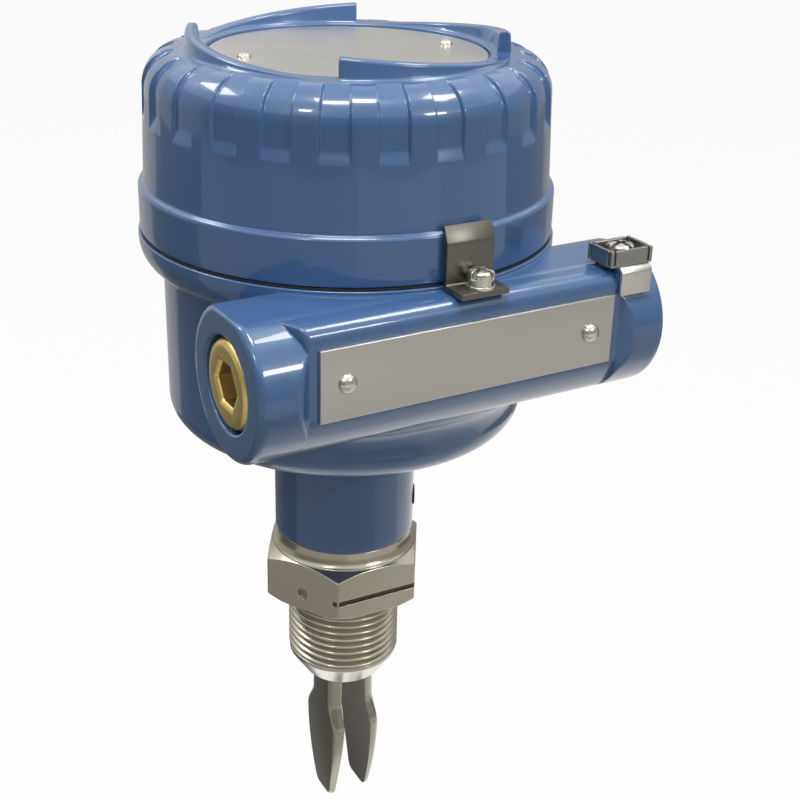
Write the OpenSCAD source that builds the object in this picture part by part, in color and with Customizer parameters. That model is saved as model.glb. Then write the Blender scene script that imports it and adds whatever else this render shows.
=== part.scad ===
// Tuning fork level switch with a screwed cover, a conduit bar and a one inch pipe connection.
// Origin on the sensor axis at the underside of the hexagon, +Z up, conduit bar along X,
// nameplate towards -Y.

/* [Process connection] */
// Outside diameter of the pipe thread
thread_d = 33.25; // [30:0.05:36]
// Length of the pipe thread
thread_l = 23; // [18:0.5:28]
// Length of the taper nose below the thread
nose_l = 7; // [5:0.5:9]
// Diameter at the end of the nose
nose_d = 23.6; // [23:0.2:26]
// Hexagon across flats
hex_af = 43; // [42:0.5:48]
// Height of the hexagon with its chamfers
hex_h = 16; // [14:0.5:20]
// Angle at which the connection stops in the neck
hex_turn = -2; // [-10:0.5:10]
// Diameter of the collar above the hexagon
collar_d = 38.6; // [37.6:0.2:39.6]
// Height of the collar
collar_h = 3.5; // [3:0.1:5]
// Diameter of the spigot screwed into the neck
spigot_d = 30; // [28:0.5:31]
// Length of that spigot
spigot_l = 15; // [12:0.5:18]
// Bore for the drive stack
sensor_bore_d = 17; // [15:0.5:19]

/* [Fork] */
// Free length of a tine below the nose
tine_l = 47; // [38:1:60]
// Gap between the tines at the root
gap_root = 7.5; // [6.6:0.1:8.4]
// Gap between the tines at the tip
gap_tip = 10.8; // [9:0.1:12]
// Width of a tine's inner face at the root
inner_root_w = 14.6; // [12:0.2:15]
// Widest part of the inner face
inner_wide_w = 19.5; // [17:0.2:21]
// Width of the inner face at the tip
inner_tip_w = 10.4; // [8:0.2:13]
// Width of a tine's outer face at the root
outer_root_w = 8.5; // [7:0.2:10]
// Widest part of the outer face
outer_wide_w = 13.8; // [11:0.2:15]
// Width of the outer face at the tip
outer_tip_w = 8.2; // [6:0.2:9]
// Thickness of a tine at the root
tine_root_t = 4; // [3:0.1:4.4]
// Thickness of a tine at the tip
tine_tip_t = 1.5; // [1:0.1:2.5]
// Share of the length at which a tine is widest
wide_at = 0.42; // [0.3:0.01:0.55]

/* [Housing] */
// Outside diameter of the neck
neck_d = 40.4; // [39.6:0.2:44]
// Height from the foot of the neck to the flange's face
housing_h = 92.1; // [88:0.1:98]
// Radius of the bowl's lower corner
bowl_corner_r = 8; // [6.5:0.5:10]
// Height of that corner's centre above the foot of the neck
bowl_corner_z = 45.3; // [44:0.1:47]
// Slope of the bowl's underside
bowl_slope = 10; // [6:0.5:14]
// Wall of the bowl
bowl_wall = 4.1; // [3:0.1:5]
// Outside diameter of the flange under the cover
flange_d = 110.4; // [106:0.1:116]
// How far the flange stands out from the bowl
flange_reach = 6.1; // [5.6:0.1:6.6]
// Radius of the flange's rounded underside
flange_r = 10.5; // [8:0.5:12]
// Depth of the step from the flange's edge in to the cover's thread
thread_step = 5.2; // [4.8:0.1:5.6]
// Height of that thread above the flange
cover_thread_h = 15; // [12:0.5:18]
// Height of the posts that carry the cassette, above the foot of the neck
post_top = 52.5; // [46:0.5:58]

/* [Conduit bar] */
// How far a boss stands out past the flange at each end
boss_past = 1.7; // [1:0.1:2.4]
// Diameter of the bar and its bosses
boss_d = 38; // [36:0.2:39]
// Length of a round boss
boss_l = 8.9; // [7.5:0.1:9.8]
// Width of the bar's top flat in front of the clamp's upright
ledge_w = 7.9; // [7.4:0.1:8.4]
// Depth of the bar's axis below the flange's face
bar_drop = 17.8; // [17:0.1:19]
// Depth of the bar's top flat below the flange's face
top_drop = 0.8; // [0.4:0.1:1.6]
// Distance of the front flat from the bar's axis
face_drop = 15.9; // [15:0.1:17]
// Distance from a boss's end in to the front flat
face_in = 13.4; // [12.4:0.1:14.4]
// Radius of the bar's underside between the bosses
belly_r = 21.5; // [21:0.1:23]
// Radius of the edge between top and front flat
edge_r = 1.5; // [0.8:0.1:2.5]
// Cable entry, diameter at the thread's crests
entry_d = 23.4; // [20:0.1:25]
// Depth of a cable entry
entry_depth = 15; // [12:0.5:17]
// Bore that joins the two entries
raceway_d = 17; // [12:0.5:18]

/* [Cover] */
// How far the cover's lower band stands back from the flange's edge
band_inset = 0.5; // [0.3:0.1:0.8]
// Height of the lower band
band_h = 11.2; // [9:0.1:13]
// Depth of the step from the band in to the wall
wall_step = 1.4; // [1.2:0.1:1.8]
// Taper of the wall, on radius, from the band up to the shoulder
wall_taper = 0.9; // [0.5:0.1:1.2]
// Height of the cover without its lugs
cover_h = 44.4; // [40:0.1:50]
// Radius of the shoulder
shoulder_r = 8.8; // [7:0.1:9.6]
// Number of notches round the shoulder
notch_count = 24; // [12:1:30]
// Width of a notch, in degrees
notch_deg = 7.75; // [5:0.25:9]
// Depth of a notch
notch_depth = 1.3; // [0.8:0.1:1.8]
// Depth of a notch's lower edge below the cover's top
notch_drop = 16.8; // [14:0.1:20]
// Height of the slanted face at the foot of a notch
notch_slant = 2.9; // [1:0.1:4]
// Number of wrench lugs
lug_count = 4; // [3:1:4]
// Height of a lug's tall end
lug_h = 5.2; // [4:0.1:8]
// Angle over which a lug runs out
lug_deg = 80; // [60:1:82]
// Thickness of a lug at its foot
lug_t = 3.6; // [3:0.1:4]
// Distance from a lug's foot out to where the shoulder begins
lug_inset = 2.1; // [1.6:0.1:2.6]
// Draft on each side of a lug
lug_draft = 0.8; // [0.2:0.1:1]
// Angle at which the cover stops on its thread
cover_turn_at_rest = -1.5; // [-20:0.5:20]
// Distance from a lug's foot in to the recess in the top
recess_inset = 1.7; // [1.2:0.1:3]
// Depth of that recess
recess_depth = 1.7; // [1.2:0.1:2.5]
// Wall of the cover above its thread
cover_wall = 4; // [3.4:0.1:4.6]
// Thickness of the cover's top under the recess
cover_top_t = 4.5; // [3.5:0.1:6]

/* [Seal and plates] */
// Height of the black seal under the cover
seal_h = 1.5; // [1.2:0.1:2]
// Thickness of the steel plates
plate_t = 1; // [0.6:0.1:1.2]
// Distance from the flat's end in to the nameplate
plate_in = 2.4; // [1.8:0.1:4]
// Height of the nameplate
plate_h = 17.9; // [14:0.1:19]
// Height of the nameplate's middle above the bar's axis
plate_up = 2.5; // [1:0.1:4]
// Distance from the nameplate's end in to its pin
plate_pin_in = 6.9; // [5:0.1:9]
// Distance from the recess's wall in to a disc pin
disc_pin_inset = 8; // [6:0.2:11]
// Angle of the disc's pins
disc_pin_turn = -2.5; // [-30:0.5:30]
// Head diameter of a drive pin
pin_head_d = 5.2; // [4:0.1:6]
// Head height of a drive pin
pin_head_h = 1.8; // [1.2:0.1:2.4]
// Shank diameter of a drive pin
pin_d = 2.4; // [2:0.1:2.8]
// Length of a drive pin's shank in the casting
pin_l = 3.2; // [2.4:0.1:3.4]

/* [Cover clamp] */
// Width of the clamp strip
clamp_w = 13.7; // [11:0.1:16]
// Thickness of the clamp strip
clamp_t = 1.5; // [1.2:0.1:1.8]
// Place of the clamp along the bar
clamp_x = 3; // [-8:0.5:8]
// Length of the clamp's foot
clamp_foot = 8.2; // [7.8:0.1:8.6]
// Height of the upright to its bend
clamp_rise = 11.8; // [11:0.1:12.4]
// Length of the leaning lip
clamp_lip = 4.4; // [3.5:0.1:5]
// Lean of the lip
clamp_lean = 22; // [16:1:26]
// Inner radius of the strip's folds
fold_r = 0.5; // [0.3:0.1:0.7]
// Diameter of the washers under the clamp's and the earth screw
washer_d = 6.2; // [5.8:0.1:6.4]
// Head diameter of the clamp's screw
clamp_head_d = 6.6; // [6:0.1:7]
// Screw size of the clamp and the earth terminal
small_screw_d = 4; // [3.5:0.1:4.4]
// Head diameter of the earth screw and the screws inside
small_head_d = 7; // [6.4:0.1:7.4]
// Head height of those screws
small_head_h = 2.8; // [2:0.1:3.4]

/* [Earth terminal] */
// Distance of the earth terminal from the boss's end
earth_in = 10.7; // [10:0.1:12.5]
// Length of the cage along the bar
cage_l = 13; // [12:0.2:14]
// Width of the cage across the bar
cage_w = 9.6; // [9.4:0.1:10]
// Height of the cage
cage_h = 4.2; // [3.8:0.1:5]
// Sheet thickness of cage and bracket
cage_t = 1; // [0.8:0.1:1.2]
// Width of the bracket strip
bracket_w = 9.4; // [8:0.2:11]
// Offset of the bracket from the cage's middle
bracket_shift = 0.9; // [0:0.1:1.2]
// Length of the bracket's tongue down the front
tongue_l = 6.2; // [5:0.1:6.6]

/* [Plug and set screw] */
// Length of the plug
plug_l = 13; // [10:0.5:14.5]
// Socket across flats
plug_socket_af = 10; // [8:0.5:11]
// Depth of the socket
plug_socket_depth = 8; // [5:0.5:9]
// Chamfer of the plug's rim
plug_chamfer = 1.4; // [1:0.1:2]
// Diameter of the neck's set screw
set_screw_d = 6; // [5:0.5:7]
// Height of the set screw above the foot of the neck
set_screw_z = 9.4; // [8:0.1:11]
// Angle of the set screw
set_screw_turn = 331; // [300:1:350]

/* [Inside] */
// Diameter of the electronics cassette
cassette_d = 66; // [60:1:68]
// Height of the cassette
cassette_h = 32; // [24:1:36]
// Circle of the cassette's screws
post_circle_d = 54; // [50:1:56]
// Length of the terminal block
block_l = 42; // [36:1:44]
// Width of the terminal block
block_w = 14; // [12:0.5:15]
// Height of the terminal block
block_h = 11; // [9:0.5:13]
// Number of terminals
terminal_count = 5; // [3:1:5]
// Diameter of the mode dial
dial_d = 16; // [12:0.5:18]
// Height of the mode dial
dial_h = 5; // [4:0.5:7]
// Number of ceramic rings in the drive stack
ring_count = 4; // [2:1:6]
// Thickness of a ceramic ring
ring_t = 3; // [2:0.1:3.6]
// Outside diameter of a ceramic ring
ring_d = 13; // [11:0.2:14]
// Diameter of the stud through the stack
stud_d = 4.8; // [4:0.2:5.4]

/* [Hidden] */
$fn = 96;

// Clearances
thread_gap = 0.15;   // screwed joints that stay put
turn_gap = 0.4;      // cover on its thread, dial in its hole
rest_gap = 0.2;      // cover's rim over the seal
hole_gap = 0.15;     // screw in its hole
weld_gap = 0.05;     // fork in the connection
over = 1;            // how far a cut runs past a face

// Levels
neck_foot = hex_h + collar_h;
flange_z = neck_foot + housing_h;
top_z = flange_z - top_drop;
bar_z = flange_z - bar_drop;
corner_z = neck_foot + bowl_corner_z;
rim_z = flange_z + seal_h + rest_gap;
cover_top = rim_z + cover_h;
ledge_z = cover_top - notch_drop;
disc_z = cover_top - recess_depth;
nose_z = -thread_l - nose_l;
cassette_z = neck_foot + post_top;
cassette_top = cassette_z + cassette_h;

// Radii
hex_r = hex_af / 2 / cos(30);
hex_chamfer = 30;
foot_land = 1;       // how far the foot's chamfer starts outside the flats
hex_top_r = collar_d / 2;
hex_foot_r = hex_af / 2 + foot_land;
neck_r = neck_d / 2;
flange_rad = flange_d / 2;
bowl_r = flange_rad - flange_reach;
corner_x = bowl_r - bowl_corner_r;
bowl_in_r = bowl_r - bowl_wall;
cover_thread_r = flange_rad - thread_step;
band_d = flange_d - 2 * band_inset;
wall_d = band_d - 2 * wall_step;
wall_top_d = wall_d - 2 * wall_taper;
shoulder_x = wall_top_d / 2 - shoulder_r;
lug_out = shoulder_x - lug_inset;
lug_in = lug_out - lug_t;
recess_d = 2 * (lug_in - recess_inset);
disc_pin_span = recess_d - 2 * disc_pin_inset;
shoulder_z = cover_top - shoulder_r;
cover_in_r = cover_thread_r + turn_gap;
cover_bell_r = wall_top_d / 2 - cover_wall;
bell_top = disc_z - cover_top_t;
boss_r = boss_d / 2;
bar_l = flange_d + 2 * boss_past;
strip_in = flange_rad + turn_gap;
face_out = strip_in + ledge_w;
bar_out = face_out - face_drop;
face_l = bar_l - 2 * face_in;
plate_l = face_l - 2 * plate_in;
plate_pin_span = plate_l - 2 * plate_pin_in;
flat_past = 0.5;     // how far the flat runs on below the nameplate
flat_drop = plate_h / 2 - plate_up + flat_past;
belly_in = sqrt(pow(belly_r, 2) - pow(flat_drop, 2));
screw_r = small_screw_d / 2;
screw_hole_r = screw_r + hole_gap;
clamp_screw_y = -(strip_in + clamp_t + fold_r + washer_d / 2 + hole_gap);
earth_x = bar_l / 2 - earth_in;
cage_over = 1.4;     // how far the cage overhangs the edge's start
earth_y = -(face_out - edge_r - cage_w / 2 + cage_over);
sensor_r = sensor_bore_d / 2;
fork_disc_t = 4;
weld_wall = 1.6;     // wall of the nose round the fork's disc
fork_disc_r = nose_d / 2 - weld_wall;
groove_h = 1.1;
groove_depth = 0.5;
groove_z = 5.9;
dot_d = 3.5;
dot_depth = 0.3;
dot_z = 5.4;
edge_round = 1.2;
flange_lip = 0.45;
seal_groove_out = 2.2;
pad_cover = 0.3;     // how far the bracket covers its pad on each side
electrode_t = 0.4;

paint = "#3f6fb0";
steel = "#b9b7b0";
dark_steel = "#8d8a82";
brass = "#c9a545";
rubber = "#1c1c1e";

// Plain helpers

module tube(outer_r, inner_r, h) {
    difference() {
        cylinder(r = outer_r, h = h);
        translate([0, 0, -over]) cylinder(r = inner_r, h = h + 2 * over);
    }
}

// Bar stock along X, its 2D section drawn in the Y-Z plane
module along_x(length) {
    rotate([90, 0, 90]) linear_extrude(length, center = true) children();
}

// Hexagon socket screw recess, cut downwards from z = 0
module hex_socket(af, depth) {
    translate([0, 0, -depth]) cylinder(r = af / 2 / cos(30), h = depth + over, $fn = 6);
}

// Pan head screw: head stands on z = 0, shank runs down
module pan_screw(d, length, head_d, head_h) {
    slot_w = head_d * 0.16;
    slot_depth = head_h * 0.45;
    crown_r = head_h * 0.45;
    difference() {
        union() {
            rotate_extrude() {
                square([head_d / 2 - crown_r, head_h]);
                square([head_d / 2, head_h - crown_r]);
                translate([head_d / 2 - crown_r, head_h - crown_r]) circle(r = crown_r, $fn = 48);
            }
            translate([0, 0, -length]) cylinder(d = d, h = length + head_h / 2);
        }
        for (turn = [0, 90])
            rotate([0, 0, turn])
                translate([-head_d / 2 - over, -slot_w / 2, head_h - slot_depth])
                    cube([head_d + 2 * over, slot_w, slot_depth + over]);
    }
}

// Domed drive pin: head stands on z = 0, shank runs down
module drive_pin(under) {
    dome_r = (pow(pin_head_d / 2, 2) + pow(pin_head_h, 2)) / (2 * pin_head_h);
    intersection() {
        translate([0, 0, pin_head_h - dome_r]) sphere(r = dome_r);
        cylinder(d = pin_head_d + over, h = pin_head_h + over);
    }
    translate([0, 0, -under]) cylinder(d = pin_d, h = under + pin_head_h / 3);
}

// Split ring of a spring washer
module spring_washer(d, t) {
    split = 0.6;
    difference() {
        tube(d / 2, screw_hole_r, t);
        rotate([0, 0, -60]) translate([0, -split / 2, -over]) cube([d, split, t + 2 * over]);
    }
}

// Process connection and fork

// Turned outline that trims the hexagon's corners
module hex_turning() {
    drop_top = (hex_r + over - hex_top_r) * tan(hex_chamfer);
    drop_foot = (hex_r + over - hex_foot_r) * tan(hex_chamfer);
    rotate_extrude()
        polygon([
            [0, 0], [hex_foot_r, 0], [hex_r + over, drop_foot],
            [hex_r + over, hex_h - drop_top], [hex_top_r, hex_h], [0, hex_h]
        ]);
}

module process_connection() {
    groove_l = hex_r;
    seal_groove_r = spigot_d / 2 + seal_groove_out;
    color(steel) rotate([0, 0, hex_turn]) difference() {
        union() {
            intersection() {
                cylinder(r = hex_r, h = hex_h, $fn = 6);
                hex_turning();
            }
            translate([0, 0, hex_h - over]) cylinder(d = collar_d, h = collar_h + over);
            translate([0, 0, neck_foot - over]) cylinder(d = spigot_d, h = spigot_l + over);
            translate([0, 0, -thread_l]) cylinder(d = thread_d, h = thread_l + over);
            translate([0, 0, nose_z]) cylinder(d1 = nose_d, d2 = thread_d, h = nose_l);
        }
        // Bore for the drive stack, and the seat of the fork's disc
        translate([0, 0, nose_z + fork_disc_t]) cylinder(r = sensor_r, h = neck_foot + spigot_l - nose_z);
        translate([0, 0, nose_z - over]) cylinder(r = fork_disc_r + weld_gap, h = fork_disc_t + over);
        // Groove of the neck seal in the collar's face
        translate([0, 0, neck_foot - neck_seal_d])
            tube(seal_groove_r + neck_seal_d / 2 + hole_gap, seal_groove_r - neck_seal_d / 2 - hole_gap,
                neck_seal_d + over);
        // Alignment groove on the front flat and stamped dot on its neighbour
        translate([-groove_l / 2, -hex_af / 2 - over, groove_z - groove_h / 2])
            cube([groove_l + hex_r, over + groove_depth, groove_h]);
        rotate([0, 0, 210]) translate([hex_af / 2 - dot_depth, 0, dot_z])
            rotate([0, 90, 0]) cylinder(d = dot_d, h = over);
    }
}

neck_seal_d = 1.7;

module neck_seal() {
    color(rubber) translate([0, 0, neck_foot - neck_seal_d / 2])
        rotate_extrude() translate([spigot_d / 2 + seal_groove_out, 0]) circle(d = neck_seal_d, $fn = 48);
}

function mix(a, b, t) = a + (b - a) * t;
function ease(t) = (1 - cos(180 * min(max(t, 0), 1))) / 2;
// A leaf's width: straight root, eased swell, then a long fall to the tip
root_share = 0.14;
function leaf(root, wide, tip, t) =
    t < wide_at
        ? mix(root, wide, ease((t - root_share) / (wide_at - root_share)))
        : mix(wide, tip, pow((t - wide_at) / (1 - wide_at), 1.9));

// One section of a tine at a share t of its length: flat inside, elliptical edges, flat outside
edge_steps = 5;
function tine_section(t) =
    let (
        z = nose_z - t * tine_l,
        gap = mix(gap_root, gap_tip, ease(t * 1.1)) / 2,
        inner = leaf(inner_root_w, inner_wide_w, inner_tip_w, t) / 2,
        outer = leaf(outer_root_w, outer_wide_w, outer_tip_w, t) / 2,
        thick = mix(tine_root_t, tine_tip_t, pow(max(t - root_share, 0) / (1 - root_share), 1.3)),
        edge = [for (i = [0 : edge_steps]) 90 * i / edge_steps]
    )
    concat(
        [for (a = edge) [gap + thick * sin(a), mix(outer, inner, cos(a)), z]],
        [for (i = [edge_steps : -1 : 0]) [gap + thick * sin(edge[i]), -mix(outer, inner, cos(edge[i])), z]]
    );

module tine() {
    steps = 26;
    sections = [for (i = [0 : steps]) tine_section(i / steps)];
    n = len(sections[0]);
    points = [for (s = sections) each s];
    sides = [
        for (i = [0 : steps - 1]) for (j = [0 : n - 1])
            let (k = (j + 1) % n, a = i * n, b = a + n)
                each [[a + j, b + k, a + k], [a + j, b + j, b + k]]
    ];
    first = [for (j = [0 : n - 1]) j];
    last = [for (j = [n - 1 : -1 : 0]) steps * n + j];
    polyhedron(points, concat([first, last], sides));
}

module fork() {
    stud_past = 2;
    stud_sunk = 1;
    stud_top = stack_z + stack_h + nut_h + stud_past;
    color(steel) rotate([0, 0, hex_turn]) {
        translate([0, 0, nose_z]) cylinder(r = fork_disc_r, h = fork_disc_t);
        translate([0, 0, nose_z + stud_sunk]) cylinder(d = stud_d, h = stud_top - nose_z - stud_sunk);
        tine();
        mirror([1, 0, 0]) tine();
    }
}

// Drive stack on the fork's disc

stack_z = nose_z + fork_disc_t;
stack_pitch = ring_t + electrode_t;
stack_h = ring_count * stack_pitch + electrode_t;
nut_h = 4.5;
nut_af = 9;

module piezo_rings() {
    color("#d8d3c4")
        for (i = [0 : ring_count - 1])
            translate([0, 0, stack_z + electrode_t + i * stack_pitch])
                tube(ring_d / 2, stud_d / 2 + hole_gap * 2, ring_t);
}

module electrode_rings() {
    tab_w = 2;
    tab_l = 1.2;
    color(brass)
        for (i = [0 : ring_count])
            translate([0, 0, stack_z + i * stack_pitch]) {
                tube(ring_d / 2, stud_d / 2 + hole_gap * 2, electrode_t);
                rotate([0, 0, 180 * (i % 2)])
                    translate([ring_d / 2 - over, -tab_w / 2, 0]) cube([tab_l + over, tab_w, electrode_t]);
            }
}

module stack_nut() {
    color(steel) translate([0, 0, stack_z + stack_h]) difference() {
        cylinder(r = nut_af / 2 / cos(30), h = nut_h, $fn = 6);
        translate([0, 0, -over]) cylinder(d = stud_d + 2 * hole_gap, h = nut_h + 2 * over);
    }
}

// Housing

// Outline of neck, bowl and flange, turned about the axis
module bowl_outline() {
    touch_x = corner_x + bowl_corner_r * sin(bowl_slope);
    touch_z = corner_z - bowl_corner_r * cos(bowl_slope);
    slope_at_neck = touch_z - (touch_x - neck_r) * tan(bowl_slope);
    throat_r = 3;
    throat_z = slope_at_neck + throat_r * tan(bowl_slope) - throat_r / cos(bowl_slope);
    throat_touch = [neck_r + throat_r * (1 - sin(bowl_slope)), throat_z + throat_r * cos(bowl_slope)];
    // Neck with a rounded foot
    translate([0, neck_foot + edge_round]) square([neck_r, corner_z - neck_foot]);
    translate([0, neck_foot]) square([neck_r - edge_round, corner_z - neck_foot]);
    translate([neck_r - edge_round, neck_foot + edge_round]) circle(r = edge_round, $fn = 48);
    // Throat between neck and slope
    difference() {
        polygon([
            [neck_r - over, throat_z], [neck_r + throat_r, throat_z], throat_touch,
            [neck_r - over, throat_touch[1]]
        ]);
        translate([neck_r + throat_r, throat_z]) circle(r = throat_r, $fn = 48);
    }
    // Sloping underside, round corner and wall
    polygon([[0, slope_at_neck], [neck_r, slope_at_neck], [touch_x, touch_z], [corner_x, corner_z], [0, corner_z]]);
    intersection() {
        translate([corner_x, corner_z]) circle(r = bowl_corner_r);
        translate([corner_x, corner_z - bowl_corner_r]) square(2 * bowl_corner_r);
    }
    translate([0, corner_z - over]) square([bowl_r, flange_z - corner_z]);
    // Flange with a rounded underside, and the thread that takes the cover
    intersection() {
        translate([flange_rad - flange_r, flange_z - flange_lip]) circle(r = flange_r);
        translate([0, flange_z - flange_lip - flange_r]) square([flange_rad, flange_r]);
    }
    translate([0, flange_z - flange_lip]) square([flange_rad, flange_lip]);
    translate([0, flange_z - over]) square([cover_thread_r, cover_thread_h - over]);
    polygon([
        [0, flange_z], [cover_thread_r, flange_z + cover_thread_h - 2 * over],
        [cover_thread_r - over, flange_z + cover_thread_h], [0, flange_z + cover_thread_h]
    ]);
}

// Space inside the bowl
module bowl_space() {
    in_r = bowl_corner_r - bowl_wall;
    translate([0, corner_z - over]) square([bowl_in_r, cover_top - corner_z]);
    intersection() {
        translate([corner_x, corner_z]) circle(r = in_r);
        translate([0, corner_z - in_r]) square([bowl_r, in_r]);
    }
    translate([0, corner_z - in_r]) square([corner_x, in_r]);
}

// Round bar with rounded ends, flat on top, with a long flat in front
module bar() {
    half = bar_l / 2;
    boss_round = 2;
    flat_half = face_l / 2;
    boss_from = half - boss_l;
    chord = sqrt(pow(boss_r, 2) - pow(top_z - bar_z, 2)) - over / 2;
    reach = bar_out + boss_r + over;
    difference() {
        translate([0, -bar_out, bar_z]) rotate([0, 90, 0]) rotate([0, 0, seam_turn]) rotate_extrude()
            union() {
                translate([0, -half]) square([boss_r - boss_round, bar_l]);
                translate([0, -half + boss_round]) square([boss_r, bar_l - 2 * boss_round]);
                for (end = [-1, 1])
                    translate([boss_r - boss_round, end * (half - boss_round)]) circle(r = boss_round, $fn = 48);
            }
        translate([-half - over, -reach, top_z]) cube([bar_l + 2 * over, 2 * boss_d, boss_d]);
        // Relief in front of the flat, between the bosses
        translate([0, 0, bar_z - boss_r - over]) linear_extrude(boss_d + 2 * over)
            polygon([[-boss_from, -reach], [boss_from, -reach], [flat_half, -face_out], [-flat_half, -face_out]]);
        // Underside drawn in from the flat's lower edge
        difference() {
            translate([-flat_half, -face_out - over, bar_z - boss_r - over]) cube([face_l, boss_r, boss_r]);
            translate([0, -face_out + belly_in, bar_z]) rotate([0, 90, 0]) rotate([0, 0, seam_turn])
                cylinder(r = belly_r, h = bar_l, center = true);
        }
    }
    // Pad under the earth bracket
    translate([earth_x + bracket_shift - bracket_w / 2 + pad_cover, -face_out + pad_cover, bar_z])
        cube([bracket_w - 2 * pad_cover, face_out - bar_out, top_z - bar_z]);
    // Square edge between top and front flat
    intersection() {
        along_x(bar_l) translate([-face_out, bar_z]) {
            square([face_out - bar_out, top_z - bar_z - edge_r]);
            translate([edge_r, 0]) square([face_out - bar_out - edge_r, top_z - bar_z]);
            translate([edge_r, top_z - bar_z - edge_r]) circle(r = edge_r, $fn = 48);
        }
        translate([0, 0, bar_z - over]) linear_extrude(boss_d)
            polygon([
                [-flat_half, -face_out], [flat_half, -face_out], [boss_from, -bar_out - chord],
                [boss_from, 0], [-boss_from, 0], [-boss_from, -bar_out - chord]
            ]);
    }
}

seam_turn = 11;      // keeps the bores' seams off the planes through their axis
post_foot = 1;       // how far a post is sunk into the floor
neck_lip = 2;        // seat above the spigot
post_r = 4.2;
post_angles = [90, 210, 330];
earth_post_r = 4.6;
earth_post_turn = 40;
earth_post_out = bowl_in_r - small_head_d / 2 - turn_gap;
earth_post_h = 5;    // above the bowl's corner
earth_post_top = corner_z + earth_post_h;
screw_depth = 9;

module housing() {
    floor_z = corner_z - (bowl_corner_r - bowl_wall);
    color(paint) difference() {
        union() {
            difference() {
                union() {
                    rotate_extrude() bowl_outline();
                    bar();
                }
                rotate_extrude() bowl_space();
            }
            // Posts that carry the cassette and the inner earth screw
            for (a = post_angles)
                rotate([0, 0, a]) translate([post_circle_d / 2, 0, floor_z - post_foot])
                    cylinder(r = post_r, h = cassette_z - floor_z + post_foot);
            rotate([0, 0, earth_post_turn]) translate([earth_post_out, 0, floor_z - post_foot])
                cylinder(r = earth_post_r, h = earth_post_top - floor_z + post_foot);
        }
        // Bore of the neck
        translate([0, 0, neck_foot - over]) cylinder(d = spigot_d + 2 * thread_gap, h = spigot_l + over + hole_gap);
        translate([0, 0, neck_foot]) cylinder(d = spigot_d - 2 * neck_lip, h = corner_z - neck_foot);
        // Cable entries and the raceway that joins them
        translate([0, -bar_out, bar_z]) rotate([0, 90, 0]) rotate([0, 0, seam_turn]) {
            cylinder(d = raceway_d, h = bar_l, center = true);
            for (side = [0, 180]) rotate([side, 0, 0]) {
                translate([0, 0, bar_l / 2 - entry_depth]) cylinder(d = entry_d, h = entry_depth + over);
                translate([0, 0, bar_l / 2 - over / 2])
                    cylinder(d1 = entry_d, d2 = entry_d + 4 * over, h = 2 * over);
            }
        }
        // Tapped holes: clamp, earth terminal, posts, neck
        translate([clamp_x, clamp_screw_y, top_z - screw_depth]) cylinder(r = screw_hole_r, h = screw_depth + over);
        translate([earth_x, earth_y, top_z - earth_screw_l - hole_gap])
            cylinder(r = screw_hole_r, h = earth_screw_l + over);
        for (a = post_angles)
            rotate([0, 0, a]) translate([post_circle_d / 2, 0, cassette_z - screw_depth])
                cylinder(r = screw_hole_r, h = screw_depth + over);
        rotate([0, 0, earth_post_turn]) translate([earth_post_out, 0, earth_post_top - screw_depth])
            cylinder(r = screw_hole_r, h = screw_depth + over);
        rotate([0, 0, set_screw_turn]) translate([0, 0, neck_foot + set_screw_z]) rotate([0, 90, 0])
            cylinder(d = set_screw_d + 2 * hole_gap, h = neck_d);
        // Holes of the nameplate's pins
        for (side = [-1, 1])
            translate([side * plate_pin_span / 2, -face_out + pin_l + hole_gap, bar_z + plate_up])
                rotate([90, 0, 0]) cylinder(d = pin_d + 2 * hole_gap, h = pin_l + over);
    }
}

// Cover and its seal

module cover_seal() {
    seal_out = flange_rad - rest_gap;
    color(rubber) translate([0, 0, flange_z]) rotate_extrude() {
        translate([cover_thread_r + hole_gap, 0]) square([seal_out - cover_thread_r - hole_gap - seal_h / 2, seal_h]);
        translate([seal_out - seal_h / 2, seal_h / 2]) circle(d = seal_h, $fn = 48);
    }
}

module cover_outline() {
    band_top = rim_z + band_h;
    band_r = band_d / 2;
    translate([0, rim_z]) square([band_r, band_h - edge_round]);
    translate([0, rim_z]) square([band_r - edge_round, band_h]);
    translate([band_r - edge_round, band_top - edge_round]) circle(r = edge_round, $fn = 48);
    polygon([
        [0, band_top - over], [wall_d / 2, band_top - over], [wall_top_d / 2, shoulder_z],
        [shoulder_x, shoulder_z], [0, shoulder_z]
    ]);
    intersection() {
        translate([shoulder_x, shoulder_z]) circle(r = shoulder_r);
        translate([shoulder_x, shoulder_z]) square(shoulder_r);
    }
    translate([0, shoulder_z - over]) square([shoulder_x, shoulder_r + over]);
}

// Space inside the cover: thread at the bottom, bell above it
module cover_space() {
    bell_r = 6;
    thread_top = flange_z + cover_thread_h + turn_gap;
    translate([0, rim_z - over]) square([cover_in_r, thread_top - rim_z + over]);
    polygon([
        [0, thread_top - over], [cover_in_r, thread_top], [cover_bell_r, thread_top + cover_in_r - cover_bell_r],
        [0, thread_top + cover_in_r - cover_bell_r]
    ]);
    translate([0, thread_top]) square([cover_bell_r, bell_top - bell_r - thread_top]);
    translate([0, thread_top]) square([cover_bell_r - bell_r, bell_top - thread_top]);
    intersection() {
        translate([cover_bell_r - bell_r, bell_top - bell_r]) circle(r = bell_r);
        translate([0, bell_top - bell_r - over]) square([cover_bell_r, bell_r + over]);
    }
}

// What a notch takes from the wall and the shoulder, above its slanted foot
module notch_outline() {
    cut = 4;
    floor_r = wall_top_d / 2 - notch_depth;
    polygon([
        [floor_r, ledge_z + notch_slant], [floor_r + cut, ledge_z + notch_slant * (1 - cut / notch_depth)],
        [floor_r + cut, shoulder_z], [floor_r, shoulder_z]
    ]);
    difference() {
        translate([shoulder_x, shoulder_z]) square(shoulder_r + cut);
        translate([shoulder_x, shoulder_z]) circle(r = shoulder_r - notch_depth);
    }
}

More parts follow.
